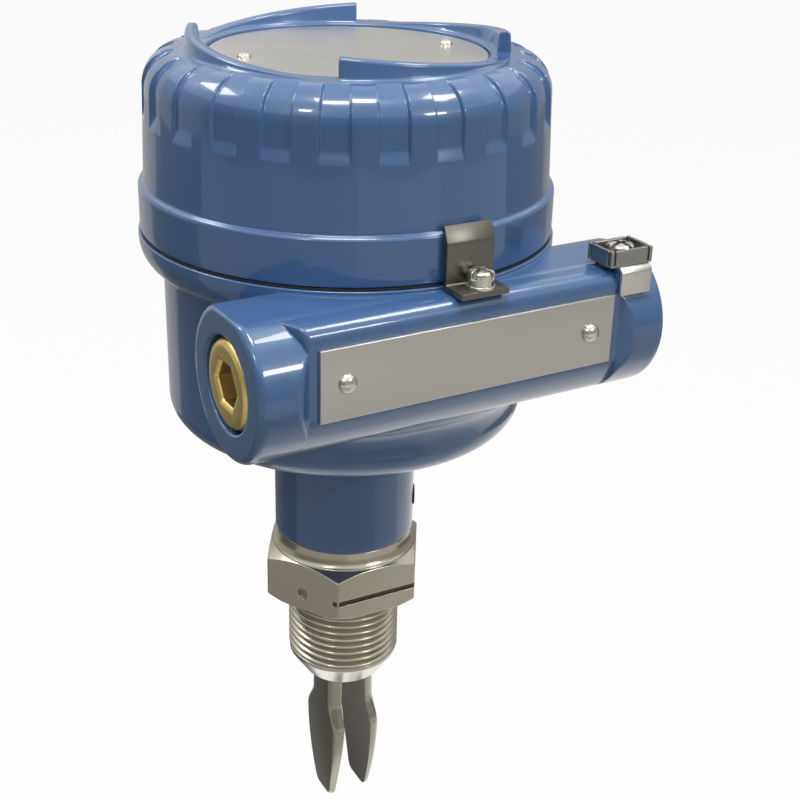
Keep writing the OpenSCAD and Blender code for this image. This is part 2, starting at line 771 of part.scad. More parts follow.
// One wrench lug, tall end at angle 0, running out towards lug_deg
module lug() {
    sink = 1;
    mid_r = (lug_in + lug_out) / 2;
    tall = [mid_r, 0];
    low = mid_r * [cos(lug_deg), sin(lug_deg)];
    run = norm(low - tall);
    heading = atan2(low[1] - tall[1], low[0] - tall[0]);
    fall = atan(lug_h / run);
    difference() {
        rotate_extrude(angle = lug_deg)
            polygon([
                [lug_in, cover_top - sink], [lug_out, cover_top - sink], [lug_out, cover_top],
                [lug_out - lug_draft, cover_top + lug_h], [lug_in + lug_draft, cover_top + lug_h],
                [lug_in, cover_top]
            ]);
        translate([tall[0], tall[1], cover_top + lug_h]) rotate([0, 0, heading]) rotate([0, fall, 0])
            translate([-mid_r, -mid_r, 0]) cube([3 * mid_r, 2 * mid_r, mid_r]);
    }
}

module cover() {
    lug_pitch = 360 / lug_count;
    first_lug = 60;
    color(paint) rotate([0, 0, cover_turn_at_rest]) difference() {
        union() {
            rotate_extrude() cover_outline();
            for (i = [0 : lug_count - 1]) rotate([0, 0, first_lug + i * lug_pitch]) lug();
        }
        rotate_extrude() cover_space();
        translate([0, 0, disc_z]) cylinder(d = recess_d, h = recess_depth + over);
        for (i = [0 : notch_count - 1])
            rotate([0, 0, i * 360 / notch_count - notch_deg / 2]) rotate_extrude(angle = notch_deg) notch_outline();
        for (side = [0, 180])
            rotate([0, 0, disc_pin_turn + side]) translate([disc_pin_span / 2, 0, disc_z - pin_l - hole_gap])
                cylinder(d = pin_d + 2 * hole_gap, h = pin_l + over);
    }
}

module cover_disc() {
    edge_gap = 0.3;
    color(steel) rotate([0, 0, cover_turn_at_rest]) translate([0, 0, disc_z]) difference() {
        cylinder(d = recess_d - 2 * edge_gap, h = plate_t);
        for (side = [0, 180])
            rotate([0, 0, disc_pin_turn + side]) translate([disc_pin_span / 2, 0, -over])
                cylinder(d = pin_d + 2 * hole_gap, h = plate_t + 2 * over);
    }
}

module cover_disc_pins() {
    color(steel) rotate([0, 0, cover_turn_at_rest])
        for (side = [0, 180])
            rotate([0, 0, disc_pin_turn + side]) translate([disc_pin_span / 2, 0, disc_z + plate_t])
                drive_pin(pin_l + plate_t);
}

// Nameplate on the front flat

module nameplate() {
    color(steel) translate([0, -face_out, bar_z + plate_up]) rotate([90, 0, 0]) difference() {
        translate([-plate_l / 2, -plate_h / 2, 0]) cube([plate_l, plate_h, plate_t]);
        for (side = [-1, 1])
            translate([side * plate_pin_span / 2, 0, -over])
                cylinder(d = pin_d + 2 * hole_gap, h = plate_t + 2 * over);
    }
}

module nameplate_pins() {
    color(steel)
        for (side = [-1, 1])
            translate([side * plate_pin_span / 2, -face_out - plate_t, bar_z + plate_up])
                rotate([90, 0, 0]) drive_pin(pin_l + plate_t);
}

// Cover clamp and its screw

// Quarter fold of a strip, its centre at the origin, in the quadrant x < 0, y < 0
module fold(t) {
    intersection() {
        difference() {
            circle(r = fold_r + t, $fn = 64);
            circle(r = fold_r, $fn = 64);
        }
        translate([-fold_r - t, -fold_r - t]) square(fold_r + t);
    }
}

module cover_clamp() {
    bend = fold_r + clamp_t;
    color(dark_steel) translate([clamp_x, -strip_in, top_z]) difference() {
        along_x(clamp_w) mirror([1, 0]) {
            // Foot, fold, upright and leaning lip, drawn outwards from the flange
            translate([bend, 0]) square([clamp_foot - bend, clamp_t]);
            translate([bend, bend]) fold(clamp_t);
            translate([0, bend]) square([clamp_t, clamp_rise - bend]);
            translate([clamp_t, clamp_rise]) rotate(clamp_lean) translate([-clamp_t, 0]) square([clamp_t, clamp_lip]);
            intersection() {
                translate([clamp_t, clamp_rise]) circle(r = clamp_t, $fn = 64);
                translate([0, clamp_rise - over / 2]) square([clamp_t, clamp_t]);
            }
        }
        translate([0, clamp_screw_y + strip_in, -over]) cylinder(r = screw_hole_r, h = clamp_t + 2 * over);
    }
}

washer_t = 0.8;
spring_t = 1;

module clamp_flat_washer() {
    color(steel) translate([clamp_x, clamp_screw_y, top_z + clamp_t])
        tube(washer_d / 2, screw_hole_r, washer_t);
}

module clamp_spring_washer() {
    color(steel) translate([clamp_x, clamp_screw_y, top_z + clamp_t + washer_t])
        spring_washer(washer_d, spring_t);
}

module clamp_screw() {
    under = clamp_t + washer_t + spring_t;
    color(steel) translate([clamp_x, clamp_screw_y, top_z + under]) rotate([0, 0, 30])
        pan_screw(small_screw_d, under + screw_depth - 1, clamp_head_d, small_head_h);
}

// Earth terminal

earth_screw_l = 5;
cage_z = top_z + cage_t;

module earth_bracket() {
    bend = fold_r + cage_t;
    back = earth_y + cage_w / 2;
    front = -(face_out + turn_gap + cage_t);
    color(steel) translate([earth_x, 0, top_z]) difference() {
        translate([bracket_shift, 0, 0]) along_x(bracket_w) {
            translate([front + bend, 0]) square([back - front - bend, cage_t]);
            translate([front + bend, cage_t - bend]) mirror([0, 1]) fold(cage_t);
            translate([front, -tongue_l]) square([cage_t, tongue_l + cage_t - bend]);
        }
        translate([0, earth_y, -over]) cylinder(r = screw_hole_r, h = cage_t + 2 * over);
    }
}

module earth_cage() {
    corner_slit = 0.5;
    long_wall = cage_l - 2 * cage_t - 2 * corner_slit;
    short_wall = cage_w - 2 * cage_t - 2 * corner_slit;
    color(dark_steel) translate([earth_x, earth_y, cage_z]) {
        difference() {
            translate([-cage_l / 2, -cage_w / 2, 0]) cube([cage_l, cage_w, cage_t]);
            translate([0, 0, -over]) cylinder(r = screw_hole_r, h = cage_t + 2 * over);
            for (sx = [-1, 1], sy = [-1, 1])
                translate([sx * cage_l / 2, sy * cage_w / 2, cage_t / 2])
                    cube([2 * (cage_t + corner_slit), 2 * (cage_t + corner_slit), cage_t + over], center = true);
        }
        for (side = [-1, 1]) {
            translate([-long_wall / 2, side * (cage_w - cage_t) / 2 - cage_t / 2, 0])
                cube([long_wall, cage_t, cage_h]);
            translate([side * (cage_l - cage_t) / 2 - cage_t / 2, -short_wall / 2, 0])
                cube([cage_t, short_wall, cage_h]);
        }
    }
}

module earth_washer() {
    color(steel) translate([earth_x, earth_y, cage_z + cage_t]) spring_washer(washer_d, spring_t);
}

module earth_screw() {
    under = 2 * cage_t + spring_t;
    head_d = cage_w - 2 * cage_t - 4 * hole_gap;
    color(steel) translate([earth_x, earth_y, top_z + under]) rotate([0, 0, 20])
        pan_screw(small_screw_d, under + earth_screw_l, min(head_d, small_head_d), small_head_h);
}

// Plug in the left cable entry, grub screw in the neck

module conduit_plug() {
    plug_r = entry_d / 2 - thread_gap;
    color(brass) translate([-bar_l / 2, -bar_out, bar_z]) rotate([0, -90, 0]) difference() {
        union() {
            translate([0, 0, -plug_l]) cylinder(r = plug_r, h = plug_l - plug_chamfer);
            translate([0, 0, -plug_chamfer]) cylinder(r1 = plug_r, r2 = plug_r - plug_chamfer, h = plug_chamfer);
        }
        hex_socket(plug_socket_af, plug_socket_depth);
    }
}

module neck_set_screw() {
    socket_af = set_screw_d / 2;
    socket_depth = 2.5;
    from = spigot_d / 2 + 2 * hole_gap;
    stand = 0.3;
    color("#3a3a3c") rotate([0, 0, set_screw_turn]) translate([neck_r + stand, 0, neck_foot + set_screw_z])
        rotate([0, 90, 0]) difference() {
            translate([0, 0, from - neck_r - stand]) cylinder(d = set_screw_d, h = neck_r + stand - from);
            hex_socket(socket_af, socket_depth);
        }
}

// Electronics under the cover

dial_y = -16;
dial_stem_d = 6;
dial_stem_l = 5;
lens_d = 5;
lens_at = [17, -17];
block_y = 13;

module cassette() {
    rim_round = 2;
    cassette_r = cassette_d / 2;
    color("#8c2f2b") translate([0, 0, cassette_z]) difference() {
        rotate_extrude() {
            square([cassette_r, cassette_h - rim_round]);
            square([cassette_r - rim_round, cassette_h]);
            translate([cassette_r - rim_round, cassette_h - rim_round]) circle(r = rim_round, $fn = 48);
        }
        for (a = post_angles)
            rotate([0, 0, a]) translate([post_circle_d / 2, 0, -over])
                cylinder(r = screw_hole_r, h = cassette_h + 2 * over);
        translate([0, dial_y, cassette_h - dial_stem_l - turn_gap])
            cylinder(d = dial_stem_d + 2 * turn_gap, h = dial_stem_l + over + turn_gap);
        translate([lens_at[0], lens_at[1], cassette_h - lens_d / 2])
            cylinder(d = lens_d + 2 * hole_gap, h = lens_d);
    }
}

module cassette_screws() {
    color(steel)
        for (a = post_angles)
            rotate([0, 0, a]) translate([post_circle_d / 2, 0, cassette_top])
                pan_screw(small_screw_d, cassette_h + screw_depth - 1, small_head_d, small_head_h);
}

terminal_pitch = block_l / terminal_count;
terminal_r = 2.6;
terminal_depth = 6;

module terminal_block() {
    wire_d = 4;
    color("#2f6f45") translate([0, block_y, cassette_top]) difference() {
        translate([-block_l / 2, -block_w / 2, 0]) cube([block_l, block_w, block_h]);
        for (i = [0 : terminal_count - 1])
            translate([(i - (terminal_count - 1) / 2) * terminal_pitch, 0, 0]) {
                translate([0, 0, block_h - terminal_depth])
                    cylinder(r = terminal_r + 2 * hole_gap, h = terminal_depth + over);
                translate([0, 0, block_h * 0.3]) rotate([90, 0, 0]) cylinder(d = wire_d, h = block_w);
            }
    }
}

module terminal_screws() {
    slot = 0.8;
    color(steel)
        for (i = [0 : terminal_count - 1])
            translate([(i - (terminal_count - 1) / 2) * terminal_pitch, block_y, cassette_top + block_h - terminal_depth])
                difference() {
                    cylinder(r = terminal_r, h = terminal_depth - 2);
                    translate([-terminal_r - over, -slot / 2, terminal_depth - 3])
                        cube([2 * terminal_r + 2 * over, slot, 2]);
                }
}

module mode_dial() {
    slot_w = 2.4;
    slot_depth = 2;
    color("#e6e2d6") translate([0, dial_y, cassette_top + turn_gap / 2]) difference() {
        union() {
            cylinder(d = dial_d, h = dial_h * 0.4);
            cylinder(d1 = dial_d * 0.8, d2 = dial_d * 0.7, h = dial_h);
            translate([0, 0, -dial_stem_l]) cylinder(d = dial_stem_d, h = dial_stem_l + 1);
        }
        translate([-dial_d * 0.3, -slot_w / 2, dial_h - slot_depth]) cube([dial_d * 0.7, slot_w, slot_depth + over]);
    }
}

module status_lens() {
    lens_r = lens_d / 2;
    color("#d94a3a") translate([lens_at[0], lens_at[1], cassette_top - lens_r]) rotate_extrude() {
        square([lens_r, lens_r]);
        intersection() {
            translate([0, lens_r]) circle(r = lens_r, $fn = 64);
            square([lens_r, lens_d]);
        }
    }
}

module inner_earth_screw() {
    color(brass) rotate([0, 0, earth_post_turn]) translate([earth_post_out, 0, earth_post_top])
        pan_screw(small_screw_d, screw_depth - 1, small_head_d, small_head_h);
}

housing();
cover();
cover_seal();
cover_disc();
cover_disc_pins();
nameplate();
nameplate_pins();
cover_clamp();
clamp_screw();
clamp_spring_washer();
clamp_flat_washer();
earth_bracket();
earth_cage();
earth_screw();
earth_washer();
conduit_plug();
neck_set_screw();
neck_seal();
process_connection();
fork();
piezo_rings();
electrode_rings();
stack_nut();
cassette();
cassette_screws();
terminal_block();
terminal_screws();
mode_dial();
status_lens();
inner_earth_screw();
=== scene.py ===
import math

import bmesh
import bpy
import numpy as np
from mathutils import Matrix, Vector


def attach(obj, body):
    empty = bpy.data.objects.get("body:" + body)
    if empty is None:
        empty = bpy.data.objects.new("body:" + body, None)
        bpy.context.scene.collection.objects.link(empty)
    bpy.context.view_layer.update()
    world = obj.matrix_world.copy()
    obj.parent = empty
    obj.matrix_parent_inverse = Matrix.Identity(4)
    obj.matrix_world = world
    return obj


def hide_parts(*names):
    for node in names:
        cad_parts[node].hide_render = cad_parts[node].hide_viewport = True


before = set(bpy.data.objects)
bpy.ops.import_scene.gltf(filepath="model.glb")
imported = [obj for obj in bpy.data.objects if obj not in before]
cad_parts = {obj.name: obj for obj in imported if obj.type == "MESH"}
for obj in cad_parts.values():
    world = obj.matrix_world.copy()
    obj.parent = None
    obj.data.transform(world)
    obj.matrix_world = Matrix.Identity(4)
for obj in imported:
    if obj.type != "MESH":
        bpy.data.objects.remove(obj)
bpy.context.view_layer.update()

# Housing
# The housing is one gravity casting in aluminium: neck, bowl, flange and conduit bar together,
# with soft foundry fillets where the bar grows out of the bowl. It is bored and tapped where
# other pieces screw in, then sprayed all over with a glossy blue enamel.


class Wire:
    """One output of a node; arithmetic on it adds Math nodes to the same tree."""

    def __init__(self, graph, node, output=0):
        self.graph, self.node = graph, node
        self.socket = node.outputs[output] if node.outputs else None

    def out(self, output):
        return Wire(self.graph, self.node, output)

    def __add__(self, other):
        return self.graph.math("ADD", self, other)

    def __radd__(self, other):
        return self.graph.math("ADD", other, self)

    def __sub__(self, other):
        return self.graph.math("SUBTRACT", self, other)

    def __rsub__(self, other):
        return self.graph.math("SUBTRACT", other, self)

    def __mul__(self, other):
        return self.graph.math("MULTIPLY", self, other)

    def __rmul__(self, other):
        return self.graph.math("MULTIPLY", other, self)

    def __truediv__(self, other):
        return self.graph.math("DIVIDE", self, other)

    def __rtruediv__(self, other):
        return self.graph.math("DIVIDE", other, self)


class Graph:
    """A node tree, of a finish or of a shape rule, written as expressions."""

    def __init__(self, tree):
        self.tree = tree

    def add(self, kind, settings=(), values=()):
        node = self.tree.nodes.new(kind)
        for key, value in dict(settings).items():
            setattr(node, key, value)
        for key, value in dict(values).items():
            if isinstance(value, Wire):
                self.tree.links.new(value.socket, node.inputs[key])
            else:
                node.inputs[key].default_value = value
        return Wire(self, node)

    def math(self, operation, *values):
        return self.add("ShaderNodeMath", {"operation": operation}, dict(enumerate(values)))


class Finish(Graph):
    """A material with its Principled shader; numbers that never vary sit on the shader itself."""

    def __init__(self, name, **fixed):
        self.material = bpy.data.materials.new(name)
        self.material.use_nodes = True
        super().__init__(self.material.node_tree)
        self.tree.nodes.clear()
        self.shader = self.tree.nodes.new("ShaderNodeBsdfPrincipled")
        output = self.tree.nodes.new("ShaderNodeOutputMaterial")
        self.tree.links.new(self.shader.outputs[0], output.inputs[0])
        for key, value in fixed.items():
            self.shader.inputs[key.replace("_", " ")].default_value = value

    def feed(self, socket, wire):
        self.tree.links.new(wire.socket, self.shader.inputs[socket])

    def place(self):
        """Where a point of the piece is, in metres."""
        return self.add("ShaderNodeTexCoord").out("Object")

    def noise(self, scale, detail, stretch=(1, 1, 1)):
        spot = self.add("ShaderNodeMapping", (), {"Vector": self.place(), "Scale": stretch})
        return self.add("ShaderNodeTexNoise", (), {"Vector": spot, "Scale": scale, "Detail": detail})

    def blend(self, share, low, high):
        ends = {k: shade if isinstance(shade, Wire) else (*shade, 1) for k, shade in ((6, low), (7, high))}
        return self.add("ShaderNodeMix", {"data_type": "RGBA"}, {0: share, **ends}).out(2)

    def tint(self, share, low, high):
        self.feed("Base Color", self.blend(share, low, high))

    def bump(self, height, strength, depth):
        values = {"Height": height, "Strength": strength, "Distance": depth}
        self.feed("Normal", self.add("ShaderNodeBump", (), values))


def rounded(corners, hold=0.0, most=200):
    """Closed outline through (x, y, radius) corners; hold adds a point just outside each arc, and
    no arc has more steps than most."""
    out = []
    for i, (x, y, r) in enumerate(corners):
        p = np.array((x, y), float)
        a = np.array(corners[i - 1][:2], float) - p
        b = np.array(corners[(i + 1) % len(corners)][:2], float) - p
        a, b = a / np.linalg.norm(a), b / np.linalg.norm(b)
        half = math.acos(np.clip(a @ b, -1, 1)) / 2
        if r <= 0 or half > 1.55:
            out.append(p)
            continue
        reach = r / math.tan(half)
        middle = p + (a + b) / np.linalg.norm(a + b) * r / math.sin(half)
        start, end = p + a * reach, p + b * reach
        first = math.atan2(*(start - middle)[::-1])
        sweep = (math.atan2(*(end - middle)[::-1]) - first + math.pi) % (2 * math.pi) - math.pi
        steps = min(most, max(3, int(abs(math.degrees(sweep)) * min(r, 12) / 8) + 2))
        if hold:
            out.append(start + a * hold)
        for k in range(steps + 1):
            turn = first + sweep * k / steps
            out.append(middle + r * np.array((math.cos(turn), math.sin(turn))))
        if hold:
            out.append(end + b * hold)
    return np.array(out)


def outline_field(points, low, high, pitch=0.25):
    """Signed distance to a closed outline, tabulated once and read back by interpolation."""
    across, up = (np.arange(a, b + pitch, pitch) for a, b in zip(low, high))
    x, y = np.meshgrid(across, up, indexing="ij")
    nearest, inside = np.full(x.shape, 1e9), np.zeros(x.shape, bool)
    for (ax, ay), (bx, by) in zip(points, np.roll(points, -1, 0)):
        ex, ey = bx - ax, by - ay
        t = np.clip(((x - ax) * ex + (y - ay) * ey) / max(ex * ex + ey * ey, 1e-12), 0, 1)
        nearest = np.minimum(nearest, (x - ax - t * ex) ** 2 + (y - ay - t * ey) ** 2)
        if abs(ey) > 1e-12:
            inside ^= ((ay > y) != (by > y)) & (x < ax + (y - ay) * ex / ey)
    table = np.sqrt(nearest) * np.where(inside, -1, 1)

    def read(u, v):
        u = np.clip((u - low[0]) / pitch, 0, len(across) - 1.001)
        v = np.clip((v - low[1]) / pitch, 0, len(up) - 1.001)
        i, j = u.astype(int), v.astype(int)
        u, v = u - i, v - j
        below = table[i, j] * (1 - u) + table[i + 1, j] * u
        above = table[i, j + 1] * (1 - u) + table[i + 1, j + 1] * u
        return below * (1 - v) + above * v

    return read


def melt(a, b, k):
    """Union of two fields with a fillet of about k."""
    h = np.clip(0.5 + 0.5 * (b - a) / k, 0, 1)
    return b * (1 - h) + a * h - k * h * (1 - h)


def trim(a, b, k):
    """What is in both fields, with the edge between them rounded by about k."""
    return -melt(-a, -b, k)


mm = 0.001


def carve(field, low, high, pitch, finer, bend, reach, hidden=None):
    """Mesh, in metres, of the solid where a field in millimetres is negative: a net over a grid,
    pulled onto the surface, made finer where it bends by more than so many degrees, with normals
    from the field's slope over a short reach. Spots that are hidden are made finer only once."""
    axes = [np.arange(a - 1.5 * pitch, b + 2 * pitch, pitch) for a, b in zip(low, high)]
    value = field(np.stack(np.meshgrid(*axes, indexing="ij"), -1))
    cells = [n - 1 for n in value.shape]
    total, count, quads = np.zeros((np.prod(cells), 3)), np.zeros(np.prod(cells)), []
    for a in range(3):
        b, c = (a + 1) % 3, (a + 2) % 3
        v = np.moveaxis(value, (a, b, c), (0, 1, 2))
        i, j, k = np.nonzero((v[:-1] < 0) != (v[1:] < 0))
        v0, v1 = v[i, j, k], v[i + 1, j, k]
        spot = np.empty((len(i), 3))
        spot[:, a] = axes[a][i] + pitch * v0 / (v0 - v1)
        spot[:, b], spot[:, c] = axes[b][j], axes[c][k]
        ring = []
        for dj, dk in ((-1, -1), (0, -1), (0, 0), (-1, 0)):
            cell = [None] * 3
            cell[a], cell[b], cell[c] = i, j + dj, k + dk
            ring.append(np.ravel_multi_index(cell, cells))
            np.add.at(total, ring[-1], spot)
            np.add.at(count, ring[-1], 1)
        ring = np.stack(ring, 1)
        quads.append(np.where((v0 < 0)[:, None], ring, ring[:, ::-1]))
    used, quads = np.unique(np.concatenate(quads), return_inverse=True)
    quads = quads.reshape(-1, 4)
    points = total[used] / count[used, None]

    def slope(p):
        return np.stack([field(p + d) - field(p - d) for d in np.eye(3) * reach], -1) / (2 * reach)

    def settle(p):
        for _ in range(4):
            g = slope(p)
            step = np.clip(field(p) / np.maximum((g * g).sum(-1), 0.05), -pitch, pitch)
            p = p - step[:, None] * g
        return p

    mesh = bpy.data.meshes.new("carved")
    mesh.from_pydata(settle(points), [], quads.tolist())
    net = bmesh.new()
    net.from_mesh(mesh)
    bmesh.ops.triangulate(net, faces=net.faces)
    for turn in range(finer):
        net.verts.index_update()
        spots = np.array([v.co for v in net.verts])
        g = slope(spots)
        g /= np.maximum(np.linalg.norm(g, axis=1), 1e-9)[:, None]
        ends = np.array([(e.verts[0].index, e.verts[1].index) for e in net.edges])
        turned = (g[ends[:, 0]] * g[ends[:, 1]]).sum(1) < math.cos(math.radians(bend))
        long = np.linalg.norm(spots[ends[:, 0]] - spots[ends[:, 1]], axis=1) > 0.12 * pitch
        chosen = turned & long
        if hidden and turn:
            chosen &= ~hidden(spots[ends[:, 0]])
        split = [e for e, s in zip(net.edges, chosen) if s]
        bmesh.ops.subdivide_edges(net, edges=split, cuts=1)
        bmesh.ops.triangulate(net, faces=net.faces)
        spots = settle(np.array([v.co for v in net.verts]))
        for v, p in zip(net.verts, spots):
            v.co = p
    net.to_mesh(mesh)
    net.free()
    spots = np.array([v.co for v in mesh.vertices])
    g = slope(spots)
    g /= np.maximum(np.linalg.norm(g, axis=1), 1e-9)[:, None]
    mesh.vertices.foreach_set("co", (spots * mm).ravel())
    mesh.update()
    mesh.normals_split_custom_set_from_vertices(g)
    return mesh


def piece(name, mesh, material, body, slot, *nodes):
    """One finished piece: it sits at the origin, rides on a body and stands for its CAD nodes."""
    made = bpy.data.objects.new(name, mesh)
    bpy.context.scene.collection.objects.link(made)
    mesh.materials.clear()
    mesh.materials.append(material)
    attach(made, body)
    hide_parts(*nodes)


# The conduit bar: its axis, radius and half length, then its planed top and its front face
bar_out, bar_z, boss_r, bar_half = 47.6, 93.8, 19.0, 56.9
top_z, face_out, flat_half = 110.8, 63.5, 43.5
end_round, edge_round, belly_r, belly_out = 2.0, 5.0, 21.5, 43.15
# The face slopes up to the round bosses by slope_deep and to the square top edge by shelf_deep
slope_long, slope_deep, shelf_deep = 4.5, 4.1, 7.9
pad_x, pad_half, pad_out = 47.1, 4.4, 63.2
earth_x, earth_y, plate_z, plate_pin_x = 46.2, -58.6, 96.3, 34.2
floor_z, neck_bore, neck_step_z, stack_bore = 60.9, 15.15, 34.65, 13.0
entry_r, entry_from, raceway_r = 11.7, 41.9, 8.5
# Posts of the cassette, then of the inner earth screw: direction, distance, radius and top
posts = [(turn, 27, 4.2, 72) for turn in (90, 210, 330)] + [(40, 41.1, 4.6, 69.8)]
post_hole_r, post_hole_deep, tapped_r, pin_hole_r = 2.15, 9, 2.15, 1.35
lock_turn, lock_z, lock_r = math.radians(331), 28.9, 3.15
bowl_outside = outline_field(
    rounded([
        (-5, 19.5, 0), (20.2, 19.5, 1.2), (20.2, 52.99, 3), (49.1, 58.09, 8), (49.1, 101.6, 1.4),
        (54.9, 104.4, 8.6), (54.9, 110.9, 0), (-5, 110.9, 0),
    ]),
    (0, 14), (62, 132),
)
bowl_inside = outline_field(
    rounded([(-5, floor_z, 0), (45, floor_z, 3.9), (45, 140, 0), (-5, 140, 0)]), (0, 14), (62, 132)
)


def housing_field(p):
    x, y, z = p[..., 0], p[..., 1], p[..., 2]
    r, ends, across = np.hypot(x, y), np.abs(x), np.hypot(y + bar_out, z - bar_z)
    # Round bar with rounded ends, relieved in front between the bosses and planed on top
    side, end = across - boss_r + end_round, ends - bar_half + end_round
    bar = np.hypot(np.maximum(side, 0), np.maximum(end, 0)) + np.minimum(np.maximum(side, end), 0) - end_round
    past_flat, behind_face = ends - flat_half, y + face_out
    ramp = (past_flat * slope_deep + behind_face * slope_long) / math.hypot(slope_deep, slope_long)
    bar = trim(bar, -np.maximum(behind_face, ramp), 0.6)
    belly = np.maximum(belly_r - np.hypot(y + belly_out, z - bar_z), z - bar_z)
    bar = trim(bar, -np.maximum(belly, past_flat - 0.4), 0.5)
    bar = trim(bar, z - top_z, 0.9)
    # Square top edge in front, and the pad under the earth terminal
    shelf = (past_flat * shelf_deep - behind_face * slope_long) / math.hypot(shelf_deep, slope_long)
    square = trim(trim(-behind_face, z - top_z, edge_round), shelf, 0.8)
    above_axis = np.maximum(bar_z - z, y + bar_out)
    square = np.maximum(trim(square, z - top_z, 0.8), above_axis)
    pad = np.maximum(np.maximum(np.abs(x - pad_x) - pad_half, -pad_out - y), above_axis)
    bar = np.minimum(np.minimum(bar, square), trim(pad, z - top_z, 0.6))
    # The fillet to the bowl fades out towards the flange
    solid = melt(bowl_outside(r, z), bar, 10 * np.clip((106 - z) / 20, 0.02, 1))
    solid = trim(solid, -bowl_inside(r, z), 0.3)
    for turn, far, wide, top in posts:
        px, py = far * math.cos(math.radians(turn)), far * math.sin(math.radians(turn))
        gap = np.hypot(x - px, y - py)
        post = np.maximum(np.maximum(gap - wide, z - top), floor_z - 1 - z)
        hole = np.maximum(gap - post_hole_r, top - post_hole_deep - z)
        solid = np.maximum(np.minimum(solid, post), -hole)
    # Neck bore, cable entries with their lead-in, raceway and tapped holes
    neck = np.where(z < neck_step_z, r - neck_bore, r - stack_bore)
    solid = trim(solid, -np.maximum(neck, z - 64), 0.4)
    entry = np.maximum(across - entry_r - np.clip(ends - 56.5, 0, 3), entry_from - ends)
    solid = trim(solid, -np.minimum(entry, across - raceway_r), 0.35)
    along = x * math.cos(lock_turn) + y * math.sin(lock_turn)
    aside = y * math.cos(lock_turn) - x * math.sin(lock_turn)
    for hole in (
        np.maximum(np.hypot(x - earth_x, y - earth_y) - tapped_r, 105.65 - z),
        np.maximum(np.hypot(ends - plate_pin_x, z - plate_z) - pin_hole_r, y + 60.15),
        np.maximum(np.hypot(aside, z - lock_z) - lock_r, -along),
    ):
        solid = np.maximum(solid, -hole)
    return solid


enamel = Finish("blue_enamel", Coat_Weight=1.0, Coat_Roughness=0.04)
enamel.tint(enamel.noise(22, 2), (0.070, 0.172, 0.392), (0.078, 0.186, 0.418))
enamel.feed("Roughness", 0.27 + 0.04 * enamel.noise(160, 2))
enamel.bump(enamel.noise(520, 2), 0.06, 0.0001)


def skin(net, rings, closed=False):
    """Faces from each ring of vertices to the next one."""
    following = rings[1:] + (rings[:1] if closed else [])
    for a, b in zip(rings, following):
        for i in range(len(a)):
            j = (i + 1) % len(a)
            corners = [a[i], a[j], b[j], b[i]]
            corners = [v for n, v in enumerate(corners) if v not in corners[:n]]
            if len(corners) > 2:
                net.faces.new(corners)


def smooth(name, net, crease=None):
    """The net as a smooth mesh, creased where it bends by more than so many degrees."""
    mesh = bpy.data.meshes.new(name)
    net.to_mesh(mesh)
    net.free()
    mesh.shade_smooth()
    if crease:
        mesh.set_sharp_from_angle(angle=math.radians(crease))
    return mesh


def turned(outline, columns=128):
    """Mesh, in metres, of a closed outline (radius, height) in millimetres turned about the axis."""
    net = bmesh.new()
    rings = []
    for r, z in outline:
        if r < 1e-6:
            rings.append([net.verts.new((0, 0, mm * z))] * columns)
            continue
        turns = [2 * math.pi * i / columns for i in range(columns)]
        rings.append([net.verts.new((mm * r * math.cos(a), mm * r * math.sin(a), mm * z)) for a in turns])
    skin(net, rings, closed=True)
    bmesh.ops.recalc_face_normals(net, faces=net.faces)
    return smooth("turned", net)


def joined(name, *meshes):
    """Several meshes as one, each vertex keeping the normal that it has."""
    spots, faces, normals, base = [], [], [], 0
    for mesh in meshes:
        n = len(mesh.vertices)
        co, direction = np.empty(n * 3), np.zeros((n, 3))
        mesh.vertices.foreach_get("co", co)
        corner = np.empty(len(mesh.loops) * 3)
        mesh.corner_normals.foreach_get("vector", corner)
        spot = np.empty(len(mesh.loops), int)
        mesh.loops.foreach_get("vertex_index", spot)
        np.add.at(direction, spot, corner.reshape(-1, 3))
        spots.append(co.reshape(-1, 3))
        normals.append(direction / np.maximum(np.linalg.norm(direction, axis=1), 1e-9)[:, None])
        faces += [[base + i for i in f.vertices] for f in mesh.polygons]
        base += n
        bpy.data.meshes.remove(mesh)
    made = bpy.data.meshes.new(name)
    made.from_pydata(np.concatenate(spots), [], faces)
    made.shade_smooth()
    made.normals_split_custom_set_from_vertices(np.concatenate(normals))
    return made


flange = turned(
    rounded([
        (48.9, 101.9, 0), (49.3, 101.6, 0), (55.2, 104.4, 9.0), (55.2, 111.6, 0.35), (50, 111.6, 0.15),
        (50, 125.6, 0.3), (49, 126.6, 0.3), (44.97, 126.6, 0.3), (44.97, 103, 0),
    ], 0.12, 24),
    112,
)


def in_bowl(p):
    """Spots of the bowl's inside, which the cover hides."""
    return (np.hypot(p[:, 0], p[:, 1]) < 45.6) & (p[:, 2] > floor_z - 1)


casting = carve(housing_field, (-57, -66.6, 19.5), (57, 55.2, 111), 1.1, 2, 15, 0.12, in_bowl)
piece(
    "housing_casting", joined("housing", casting, flange), enamel.material, "base", "blue_paint", "housing"
)

# Process connection
# The process connection is turned from one bar of stainless hexagon: chamfered hexagon, collar,
# one inch taper pipe thread with its lead-in nose, and a spigot screwed up into the neck.


